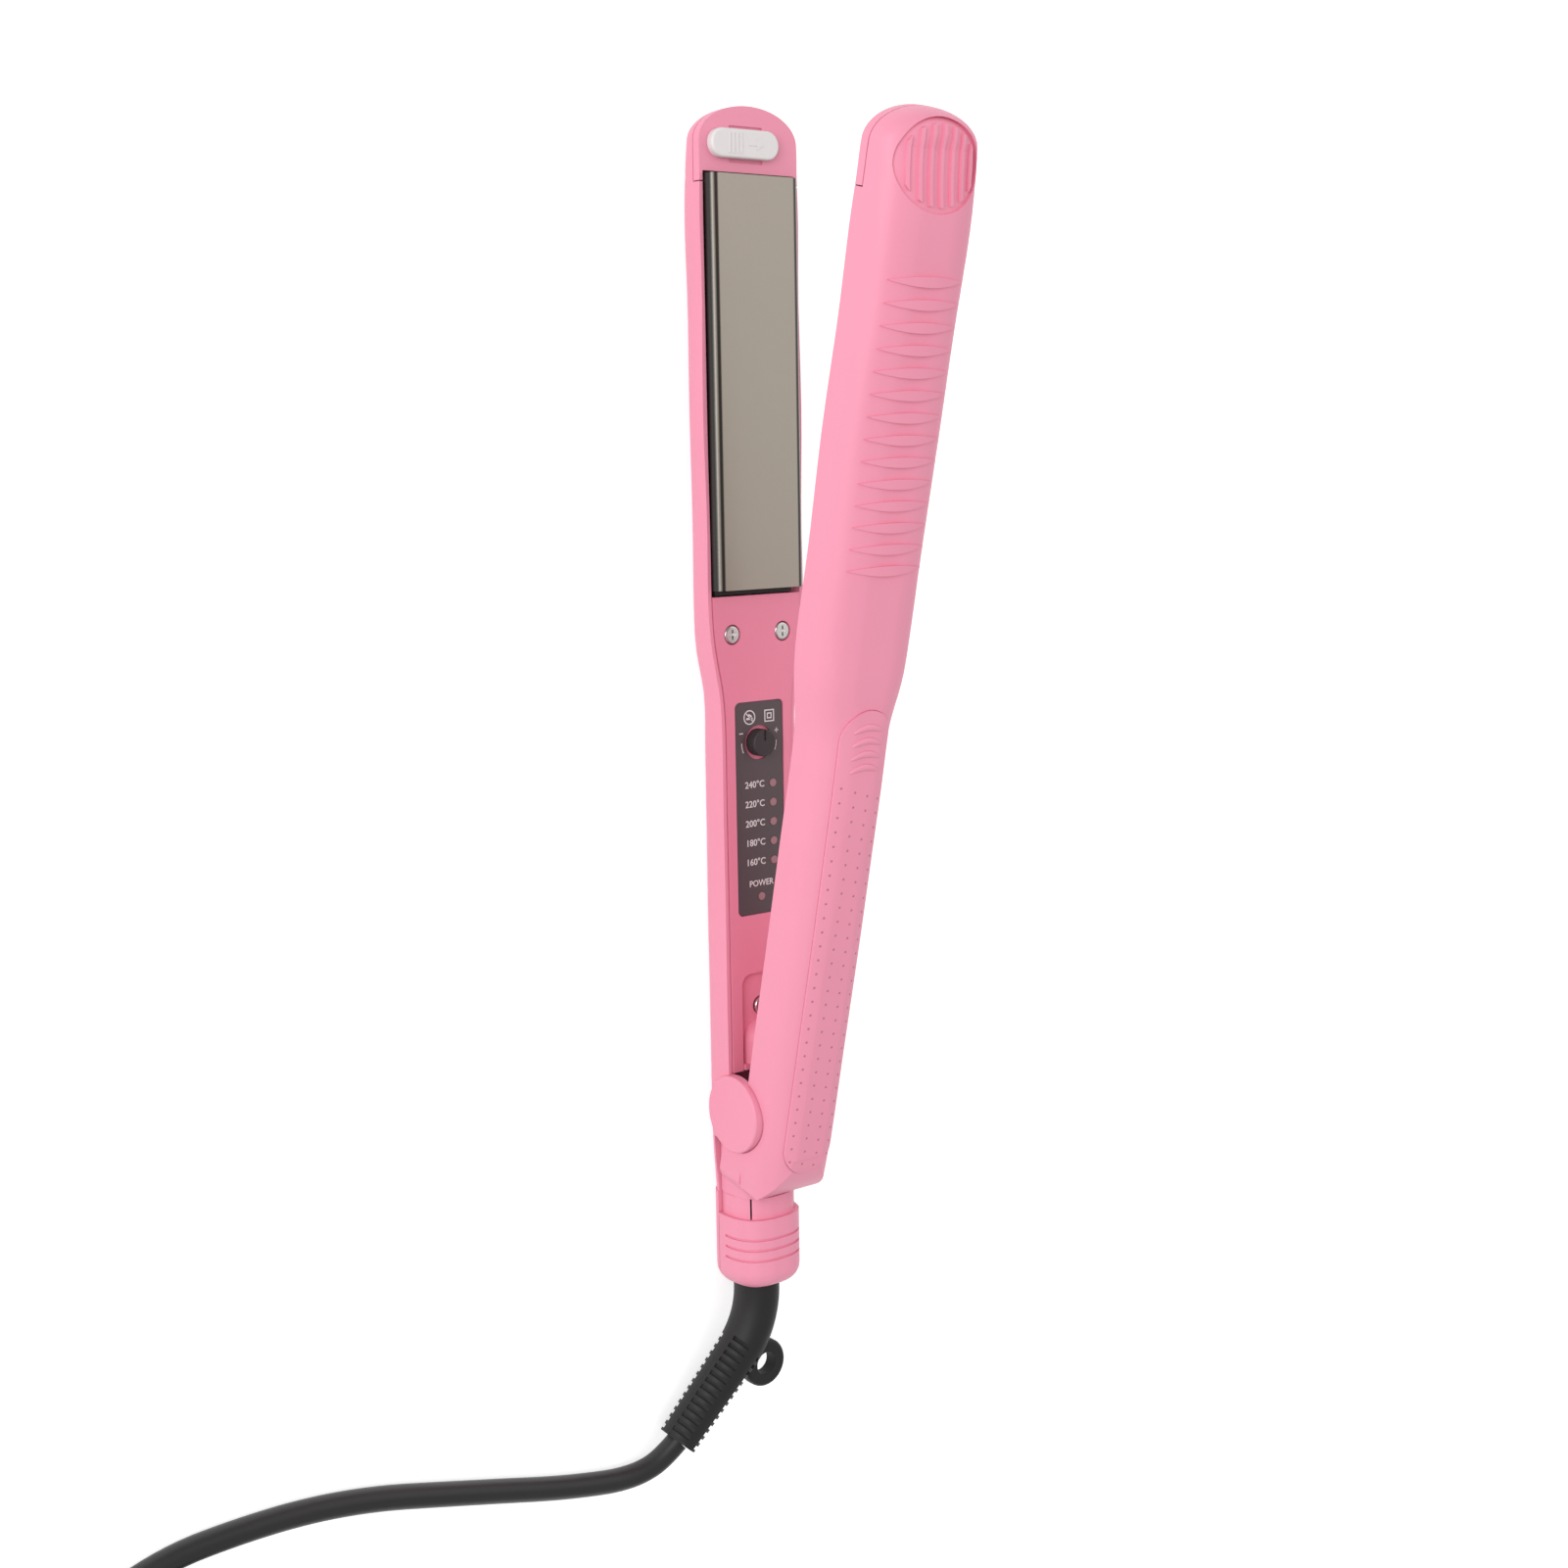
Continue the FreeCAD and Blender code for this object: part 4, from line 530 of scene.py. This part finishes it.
# frames of the icons: outline, place across, outer and inner reach
ICON_FRAMES = [(ROUND, ROUND_ICON_Y, 1.85, 1.55), (SQUARE, SQUARE_ICON_Y, 1.55, 1.25),
               (SQUARE, SQUARE_ICON_Y, 0.75, 0.45)]
# bars of the round icon: offset from its middle, length, width, angle
ROUND_ICON_BARS = [((0.0, 0.0), 3.3, 0.3, 45), ((-0.35, 0.0), 2.0, 0.5, 90),
                   ((0.45, -0.2), 1.2, 0.4, 60)]
DIAL_MARK_REACH = 5.5 * MM
DIAL_MARK_LENGTH = 0.8 * MM
DIAL_MARK_WIDTH = 0.22 * MM
DIAL_MARK_STEP = 9
DIAL_MARK_TURN = 12
SIGN_X = DIAL_X + 2.6 * MM
SIGN_Y = 5.6 * MM
SIGN_LENGTH = 1.2 * MM
SIGN_WIDTH = 0.25 * MM


def text_mesh(words, size, centre, ink):
    """Flat words on the label, read with the tips away from the reader."""
    curve = bpy.data.curves.new("words", "FONT")
    curve.body = words
    scale = size / CAP_SHARE
    curve.align_x = "CENTER"
    curve.align_y = "CENTER"
    curve.extrude = ink / scale
    curve.offset = BOLD
    curve.resolution_u = 3
    holder = bpy.data.objects.new("words", curve)
    bpy.context.scene.collection.objects.link(holder)
    bpy.context.view_layer.update()
    mesh = bpy.data.meshes.new_from_object(holder.evaluated_get(
        bpy.context.evaluated_depsgraph_get()))
    bpy.data.objects.remove(holder)
    turn = Matrix.Rotation(-math.pi / 2, 4, "Z") @ Matrix.Scale(scale, 4)
    mesh.transform(Matrix.Translation((centre[0], centre[1], LABEL_TOP + ink)) @ turn)
    return mesh


def ink_frame(work, outline, centre, outer, inner, ink):
    """Flat closed frame of ink that follows a unit outline."""
    rows = []
    for reach, z in ((outer, 0.0), (outer, ink), (inner, ink), (inner, 0.0)):
        rows.append([work.verts.new((centre[0] + reach * x, centre[1] + reach * y,
                                     LABEL_TOP + z)) for x, y in outline])
    sides = len(outline)
    for k in range(4):
        low, high = rows[k], rows[(k + 1) % 4]
        for i in range(sides):
            j = (i + 1) % sides
            work.faces.new((low[i], low[j], high[j], high[i]))


def bar(work, centre, length, width, angle, ink):
    """Thin bar of ink, turned about Z."""
    along = Vector((math.cos(angle), math.sin(angle), 0)) * length / 2
    across = Vector((-math.sin(angle), math.cos(angle), 0)) * width / 2
    middle = Vector((centre[0], centre[1], LABEL_TOP))
    lift = Vector((0, 0, ink))
    corners = [middle - along - across, middle + along - across, middle + along + across,
               middle - along + across]
    low = [work.verts.new(c) for c in corners]
    high = [work.verts.new(c + lift) for c in corners]
    work.faces.new(high)
    work.faces.new(low[::-1])
    for i in range(4):
        j = (i + 1) % 4
        work.faces.new((low[i], low[j], high[j], high[i]))


def make_print(material):
    settings = bpy.context.scene.straightener_print
    ink = settings.thickness
    work = bmesh.new()
    words = [(str(degrees) + settings.degrees, settings.digit_size, (x, DIGITS_Y))
             for x, degrees in zip(LAMP_X, TEMPERATURES)]
    words.append(("POWER", settings.word_size, (POWER_X + WORD_ABOVE_LAMP, 0.0)))
    for text, size, centre in words:
        mesh = text_mesh(text, size, centre, ink)
        work.from_mesh(mesh)
        bpy.data.meshes.remove(mesh)
    for outline, y, outer, inner in ICON_FRAMES:
        ink_frame(work, outline, (ICON_X, y), outer * MM, inner * MM, ink)
    for (x, y), length, width, angle in ROUND_ICON_BARS:
        bar(work, (ICON_X + x * MM, ROUND_ICON_Y + y * MM), length * MM, width * MM,
            math.radians(angle), ink)
    for side in (-1, 1):
        for i in (-1, 0, 1):
            angle = math.radians((90 + i * DIAL_MARK_STEP + DIAL_MARK_TURN) * side)
            spot = (DIAL_X + DIAL_MARK_REACH * math.cos(angle),
                    DIAL_MARK_REACH * math.sin(angle))
            bar(work, spot, DIAL_MARK_LENGTH, DIAL_MARK_WIDTH, angle + math.pi / 2, ink)
    for y, angle in ((SIGN_Y, math.pi / 2), (-SIGN_Y, math.pi / 2), (-SIGN_Y, 0.0)):
        bar(work, (SIGN_X, y), SIGN_LENGTH, SIGN_WIDTH, angle, ink)
    mesh = bpy.data.meshes.new("label_print")
    work.to_mesh(mesh)
    work.free()
    piece = finish_piece("label_print", mesh, material, "lower_arm")
    return piece


# ---- grip texture, metres ----
DOTS_FROM_PLATE = 0.0416
DOT_SLANT = 0.32
DOT_SUBDIVISIONS = 2
# painted shade: the grip dots are darkened to stand in for the shade of a pit, though their shape
# is a low dome
DOT_PAINTED_SHADE = 0.55
BELOW_ARM = -0.03
RAY_REACH = 0.1
RIDGES_FROM_PLATE = 0.0262
RIDGE_PITCH = 0.0033
RIDGE_HALF_WIDTH = 0.0046
RIDGE_BOW = 0.0013
RIDGE_THICKNESS = 0.0009
RIDGE_HEIGHT = 0.00045
RIDGE_END_SWELL = 0.02
RIDGE_STATIONS = 15
RIDGE_SIDES = 8


def dot_tree():
    """Geometry Nodes: rows of flat domes laid on a grip panel."""
    tree = bpy.data.node_groups.new("Grip dots", "GeometryNodeTree")
    face = tree.interface
    face.new_socket(name="Geometry", in_out="OUTPUT", socket_type="NodeSocketGeometry")
    for name, kind in (("Panel", "NodeSocketObject"), ("Rows", "NodeSocketInt"),
                       ("Columns", "NodeSocketInt"), ("Length", "NodeSocketFloat"),
                       ("Width", "NodeSocketFloat"), ("Slant", "NodeSocketFloat"),
                       ("Place", "NodeSocketVector"), ("Turn", "NodeSocketRotation"),
                       ("Look", "NodeSocketVector"), ("Radius", "NodeSocketFloat"),
                       ("Height", "NodeSocketFloat"), ("Finish", "NodeSocketMaterial")):
        face.new_socket(name=name, in_out="INPUT", socket_type=kind)
    nodes, links = tree.nodes, tree.links
    source = nodes.new("NodeGroupInput")
    sink = nodes.new("NodeGroupOutput")
    grid = nodes.new("GeometryNodeMeshGrid")
    links.new(source.outputs["Length"], grid.inputs["Size X"])
    links.new(source.outputs["Width"], grid.inputs["Size Y"])
    links.new(source.outputs["Rows"], grid.inputs["Vertices X"])
    links.new(source.outputs["Columns"], grid.inputs["Vertices Y"])
    here = nodes.new("GeometryNodeInputPosition")
    parts = nodes.new("ShaderNodeSeparateXYZ")
    lean = nodes.new("ShaderNodeMath")
    lean.operation = "MULTIPLY"
    shift = nodes.new("ShaderNodeCombineXYZ")
    slide = nodes.new("GeometryNodeSetPosition")
    links.new(here.outputs["Position"], parts.inputs["Vector"])
    links.new(parts.outputs["Y"], lean.inputs[0])
    links.new(source.outputs["Slant"], lean.inputs[1])
    links.new(lean.outputs["Value"], shift.inputs["X"])
    links.new(grid.outputs["Mesh"], slide.inputs["Geometry"])
    links.new(shift.outputs["Vector"], slide.inputs["Offset"])
    move = nodes.new("GeometryNodeTransform")
    links.new(slide.outputs["Geometry"], move.inputs["Geometry"])
    links.new(source.outputs["Place"], move.inputs["Translation"])
    links.new(source.outputs["Turn"], move.inputs["Rotation"])
    target = nodes.new("GeometryNodeObjectInfo")
    target.transform_space = "ORIGINAL"
    links.new(source.outputs["Panel"], target.inputs["Object"])
    ray = nodes.new("GeometryNodeRaycast")
    ray.inputs["Ray Length"].default_value = RAY_REACH
    links.new(target.outputs["Geometry"], ray.inputs["Target Geometry"])
    links.new(source.outputs["Look"], ray.inputs["Ray Direction"])
    missed = nodes.new("FunctionNodeBooleanMath")
    missed.operation = "NOT"
    links.new(ray.outputs["Is Hit"], missed.inputs[0])
    drop = nodes.new("GeometryNodeDeleteGeometry")
    links.new(move.outputs["Geometry"], drop.inputs["Geometry"])
    links.new(missed.outputs["Boolean"], drop.inputs["Selection"])
    keep = nodes.new("GeometryNodeCaptureAttribute")
    keep.capture_items.new("VECTOR", "Facing")
    links.new(drop.outputs["Geometry"], keep.inputs["Geometry"])
    links.new(ray.outputs["Hit Normal"], keep.inputs["Facing"])
    lay = nodes.new("GeometryNodeSetPosition")
    links.new(keep.outputs["Geometry"], lay.inputs["Geometry"])
    links.new(ray.outputs["Hit Position"], lay.inputs["Position"])
    align = nodes.new("FunctionNodeAlignRotationToVector")
    links.new(keep.outputs["Facing"], align.inputs["Vector"])
    dome = nodes.new("GeometryNodeMeshIcoSphere")
    dome.inputs["Subdivisions"].default_value = DOT_SUBDIVISIONS
    links.new(source.outputs["Radius"], dome.inputs["Radius"])
    flat = nodes.new("ShaderNodeCombineXYZ")
    flat.inputs["X"].default_value = 1.0
    flat.inputs["Y"].default_value = 1.0
    ratio = nodes.new("ShaderNodeMath")
    ratio.operation = "DIVIDE"
    links.new(source.outputs["Height"], ratio.inputs[0])
    links.new(source.outputs["Radius"], ratio.inputs[1])
    links.new(ratio.outputs["Value"], flat.inputs["Z"])
    place = nodes.new("GeometryNodeInstanceOnPoints")
    links.new(lay.outputs["Geometry"], place.inputs["Points"])
    links.new(dome.outputs["Mesh"], place.inputs["Instance"])
    links.new(align.outputs["Rotation"], place.inputs["Rotation"])
    links.new(flat.outputs["Vector"], place.inputs["Scale"])
    real = nodes.new("GeometryNodeRealizeInstances")
    links.new(place.outputs["Instances"], real.inputs["Geometry"])
    paint = nodes.new("GeometryNodeSetMaterial")
    links.new(real.outputs["Geometry"], paint.inputs["Geometry"])
    links.new(source.outputs["Finish"], paint.inputs["Material"])
    links.new(paint.outputs["Geometry"], sink.inputs["Geometry"])
    return tree


def bake_tree(name, tree, values, material, body):
    """Runs a Geometry Nodes tree once and keeps the result as a plain mesh."""
    seed = bpy.data.objects.new(name + "_seed", bpy.data.meshes.new(name + "_seed"))
    bpy.context.scene.collection.objects.link(seed)
    modifier = seed.modifiers.new("tree", "NODES")
    modifier.node_group = tree
    for item in tree.interface.items_tree:
        if item.item_type == "SOCKET" and item.in_out == "INPUT" and item.name in values:
            modifier[item.identifier] = values[item.name]
    bpy.context.view_layer.update()
    evaluated = seed.evaluated_get(bpy.context.evaluated_depsgraph_get())
    mesh = bpy.data.meshes.new_from_object(evaluated)
    mesh.name = name
    bpy.data.objects.remove(seed)
    mesh.shade_smooth()
    return finish_piece(name, mesh, material, body)


def dot_values(settings, panel, carry, material):
    """Inputs of the dot tree for one arm; carry takes the lower arm's frame to the arm."""
    along = settings.row_pitch * (settings.dot_rows - 1)
    middle_x = PLATE_X0 - DOTS_FROM_PLATE - along / 2
    below = Vector((middle_x, 0, BELOW_ARM))
    turn = carry.to_3x3()
    return {
        "Panel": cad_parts[panel],
        "Rows": settings.dot_rows, "Columns": settings.dot_columns,
        "Length": along,
        "Width": settings.column_pitch * (settings.dot_columns - 1),
        "Slant": DOT_SLANT, "Place": carry @ below,
        "Turn": (0.0, -OPEN_ANGLE if panel.startswith("upper") else 0.0, 0.0),
        "Look": turn @ Vector((0, 0, 1)),
        "Radius": settings.dot_radius, "Height": settings.dot_height, "Finish": material,
    }


def grip_ridge(surface, carry, x):
    """Closed crescent ridge across a grip panel."""
    stations, sides = RIDGE_STATIONS, RIDGE_SIDES
    look = carry.to_3x3() @ Vector((0, 0, 1))
    vertices, faces = [], []
    for i in range(stations):
        t = -1 + 2 * i / (stations - 1)
        swell = math.sqrt(max(0.0, 1 - t * t)) + RIDGE_END_SWELL
        start = carry @ Vector((x + RIDGE_BOW * (1 - t * t), t * RIDGE_HALF_WIDTH, BELOW_ARM))
        place = surface.ray_cast(start, look)[0]
        along = carry.to_3x3() @ Vector((1, 0, 0))
        for k in range(sides):
            angle = 2 * math.pi * k / sides
            vertices.append(place + along * (RIDGE_THICKNESS * swell * math.cos(angle))
                            - look * (RIDGE_HEIGHT * swell * math.sin(angle)))
    for i in range(stations - 1):
        for k in range(sides):
            j = (k + 1) % sides
            faces.append((i * sides + k, i * sides + j, (i + 1) * sides + j,
                          (i + 1) * sides + k))
    faces.append(tuple(range(sides)))
    faces.append(tuple((stations - 1) * sides + k for k in range(sides))[::-1])
    return vertices, faces


def make_ridges(panel, carry, material, body):
    settings = bpy.context.scene.straightener_grip
    surface = node_surface(panel)
    vertices, faces = [], []
    for i in range(settings.ridges):
        x = PLATE_X0 - RIDGES_FROM_PLATE - RIDGE_PITCH * i
        more, sheets = grip_ridge(surface, carry, x)
        faces += [tuple(index + len(vertices) for index in sheet) for sheet in sheets]
        vertices += more
    return add_mesh(panel + "_ridges", vertices, faces, material, body)


# ---- slider arrow ----
# outline in mm
ARROW = [(-0.35, 3.2), (-0.35, 0.6), (-1.3, 0.9), (0.0, -1.4), (1.3, 0.9), (0.35, 0.6),
         (0.35, 3.2)]
ARROW_FROM_END = 0.0062
ARROW_SINK = 0.00025
ARROW_HALF_THICKNESS = 0.0002


def make_arrow(material):
    """Raised arrow on the slider that points the way it locks."""
    low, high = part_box("lock_slider")
    top = high[2] - ARROW_SINK
    x = (low[0] + high[0]) / 2
    y = low[1] + ARROW_FROM_END
    count = len(ARROW)
    vertices = [(x + a * MM, y + b * MM, top + level)
                for level in (-ARROW_HALF_THICKNESS, ARROW_HALF_THICKNESS) for a, b in ARROW]
    faces = [tuple(range(count)), tuple(range(2 * count - 1, count - 1, -1))]
    faces += [(i, (i + 1) % count, count + (i + 1) % count, count + i) for i in range(count)]
    piece = add_mesh("slider_arrow", vertices, faces, material, "lock")
    piece.data.shade_flat()
    return piece


# ---- stage ----
FLOOR_HALF = 3.0
FLOOR_Z = -0.0001
FLOOR_TONE = 0.9
FLOOR_ROUGHNESS = 0.9
FLOOR_GLOW = 0.48
WORLD_TINT = (1.0, 0.985, 0.98, 1.0)
LIGHT_AIM = (0, 0, 0.03)
KEY_PLACE, KEY_SIZE = (0.25, 1.0, 0.75), 0.8
FILL_PLACE, FILL_SIZE = (0.5, -0.9, 1.0), 1.2
CAMERA_PLACE = (0.0684, 0.3468, 0.4607)
CAMERA_AHEAD = (-0.14967, -0.61491, -0.77427)
CAMERA_UP = (0.98861, -0.10564, -0.1072)
SENSOR_WIDTH = 36.0
CLIP_START = 0.01


def look_matrix(place, forward, up):
    forward = Vector(forward).normalized()
    right = forward.cross(Vector(up)).normalized()
    above = right.cross(forward)
    turn = Matrix((right, above, -forward)).transposed().to_4x4()
    return Matrix.Translation(place) @ turn


def floor_material():
    """Pale floor that stays white to the eye and still takes the shadow."""
    material, shader = start_material("pale_floor")
    nodes, links = material.node_tree.nodes, material.node_tree.links
    shader.inputs["Base Color"].default_value = (FLOOR_TONE, FLOOR_TONE, FLOOR_TONE, 1.0)
    shader.inputs["Roughness"].default_value = FLOOR_ROUGHNESS
    path = nodes.new("ShaderNodeLightPath")
    seen = nodes.new("ShaderNodeMath")
    seen.operation = "MAXIMUM"
    either = nodes.new("ShaderNodeMath")
    either.operation = "MAXIMUM"
    links.new(path.outputs["Is Camera Ray"], seen.inputs[0])
    links.new(path.outputs["Is Glossy Ray"], seen.inputs[1])
    links.new(seen.outputs["Value"], either.inputs[0])
    links.new(path.outputs["Is Transmission Ray"], either.inputs[1])
    glow = nodes.new("ShaderNodeEmission")
    glow.inputs["Strength"].default_value = FLOOR_GLOW
    add = nodes.new("ShaderNodeAddShader")
    mix = nodes.new("ShaderNodeMixShader")
    links.new(shader.outputs["BSDF"], add.inputs[0])
    links.new(glow.outputs["Emission"], add.inputs[1])
    links.new(either.outputs["Value"], mix.inputs["Fac"])
    links.new(shader.outputs["BSDF"], mix.inputs[1])
    links.new(add.outputs["Shader"], mix.inputs[2])
    links.new(mix.outputs["Shader"], nodes["Material Output"].inputs["Surface"])
    return material


def make_world(strength):
    world = bpy.data.worlds.new("soft_surround")
    world.use_nodes = True
    bpy.context.scene.world = world
    nodes, links = world.node_tree.nodes, world.node_tree.links
    light = nodes["Background"]
    light.inputs["Color"].default_value = WORLD_TINT
    light.inputs["Strength"].default_value = strength
    white = nodes.new("ShaderNodeBackground")
    white.inputs["Color"].default_value = (1.0, 1.0, 1.0, 1.0)
    white.inputs["Strength"].default_value = 1.0
    path = nodes.new("ShaderNodeLightPath")
    mix = nodes.new("ShaderNodeMixShader")
    links.new(path.outputs["Is Camera Ray"], mix.inputs["Fac"])
    links.new(light.outputs["Background"], mix.inputs[1])
    links.new(white.outputs["Background"], mix.inputs[2])
    links.new(mix.outputs["Shader"], nodes["World Output"].inputs["Surface"])


def soft_light(name, place, aim, size, power):
    lamp = bpy.data.lights.new(name, "AREA")
    lamp.shape = "SQUARE"
    lamp.size = size
    lamp.energy = power
    holder = bpy.data.objects.new(name, lamp)
    holder.matrix_world = look_matrix(Vector(place), Vector(aim) - Vector(place), (0, 0, 1))
    bpy.context.scene.collection.objects.link(holder)
    return holder


class StageBuilder(bpy.types.Operator):
    """Lays the pale floor, the lights and the camera"""
    bl_idname = "straightener.stage"
    bl_label = "Stage"

    def execute(self, context):
        settings = context.scene.straightener_stage
        floor = bpy.data.meshes.new("floor")
        corners = [(x * FLOOR_HALF, y * FLOOR_HALF, FLOOR_Z)
                   for x, y in ((-1, -1), (1, -1), (1, 1), (-1, 1))]
        floor.from_pydata(corners, [], [(0, 1, 2, 3)])
        floor.materials.append(floor_material())
        ground = bpy.data.objects.new("floor", floor)
        context.scene.collection.objects.link(ground)
        make_world(settings.ambient)
        soft_light("key_light", KEY_PLACE, LIGHT_AIM, KEY_SIZE, settings.key_power)
        soft_light("fill_light", FILL_PLACE, LIGHT_AIM, FILL_SIZE, settings.fill_power)
        lens = bpy.data.cameras.new("camera")
        lens.lens = settings.lens
        lens.sensor_width = SENSOR_WIDTH
        lens.clip_start = CLIP_START
        camera = bpy.data.objects.new("camera", lens)
        camera.matrix_world = look_matrix(Vector(CAMERA_PLACE), CAMERA_AHEAD, CAMERA_UP)
        context.scene.collection.objects.link(camera)
        context.scene.camera = camera
        context.scene.view_settings.view_transform = "Standard"
        return {"FINISHED"}


class FinishBuilder(bpy.types.Operator):
    """Gives each solid of the straightener its finish"""
    bl_idname = "straightener.finishes"
    bl_label = "Finishes"

    def execute(self, context):
        finishes = make_finishes()
        for finish, names in FINISHES.items():
            for name in names:
                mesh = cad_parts[name].data
                mesh.materials.clear()
                mesh.materials.append(finishes[finish])
        return {"FINISHED"}


class CordBuilder(bpy.types.Operator):
    """Lays the mains cord from its strain relief to the coil and the plug"""
    bl_idname = "straightener.cord"
    bl_label = "Mains cord"

    def execute(self, context):
        look = context.scene.straightener_finish
        sheath = moulded("cord_sheath", look.rubber, 0.9, 900.0, 0.1, (0.36, 0.46))
        make_cord(sheath)
        return {"FINISHED"}


class PrintBuilder(bpy.types.Operator):
    """Prints the temperatures, the power word and the marks on the control label"""
    bl_idname = "straightener.label_print"
    bl_label = "Label print"

    def execute(self, context):
        ink = moulded("label_ink", (0.72, 0.70, 0.70), 0.96, 2600.0, 0.05, (0.45, 0.55))
        make_print(ink)
        return {"FINISHED"}


class GripBuilder(bpy.types.Operator):
    """Adds the dots, in a darker pink as painted shade, and the curved ridges to both grip panels
    """
    bl_idname = "straightener.grip_texture"
    bl_label = "Grip texture"

    def execute(self, context):
        settings = context.scene.straightener_grip
        finish = bpy.data.materials["shell_pink"]
        look = context.scene.straightener_finish
        # painted shade: the dots get a darker pink that stands in for the shade of a pit
        shaded_dot_pink = [DOT_PAINTED_SHADE * part for part in look.pink]
        dot_shade_finish = moulded("grip_dot_painted_shade", shaded_dot_pink, 0.94, 2600.0, 0.1, (0.5, 0.6))
        tree = dot_tree()
        for arm, carry in (("lower", Matrix.Identity(4)), ("upper", upper_matrix())):
            panel = arm + "_grip_panel"
            values = dot_values(settings, panel, carry, dot_shade_finish)
            dots = bake_tree(panel + "_dots", tree, values, dot_shade_finish, arm + "_arm")
            ridges = make_ridges(panel, carry, finish, arm + "_arm")
        return {"FINISHED"}


class ArrowBuilder(bpy.types.Operator):
    """Adds the raised arrow to the lock slider"""
    bl_idname = "straightener.slider_arrow"
    bl_label = "Slider arrow"

    def execute(self, context):
        make_arrow(bpy.data.materials["slider_white"])
        return {"FINISHED"}


class StraightenerPanel(bpy.types.Panel):
    """Lists the steps that dress the straightener"""
    bl_idname = "VIEW3D_PT_straightener"
    bl_label = "Straightener"
    bl_space_type = "VIEW_3D"
    bl_region_type = "UI"
    bl_category = "Straightener"

    def draw(self, context):
        for step in STEPS:
            self.layout.operator(step.bl_idname)


STEPS = (StageBuilder, FinishBuilder, CordBuilder, PrintBuilder, GripBuilder, ArrowBuilder)
SETTINGS = {
    "straightener_cord": CordSettings,
    "straightener_print": PrintSettings,
    "straightener_grip": GripSettings,
    "straightener_finish": FinishSettings,
    "straightener_stage": StageSettings,
}


def register():
    for name, group in SETTINGS.items():
        bpy.utils.register_class(group)
        setattr(bpy.types.Scene, name, PointerProperty(type=group))
    for item in STEPS + (StraightenerPanel,):
        bpy.utils.register_class(item)


def unregister():
    for item in reversed(STEPS + (StraightenerPanel,)):
        bpy.utils.unregister_class(item)
    for name, group in SETTINGS.items():
        delattr(bpy.types.Scene, name)
        bpy.utils.unregister_class(group)


def main():
    register()
    for step in STEPS:
        family, name = step.bl_idname.split(".")
        getattr(getattr(bpy.ops, family), name)()


if __name__ == "__main__":
    main()
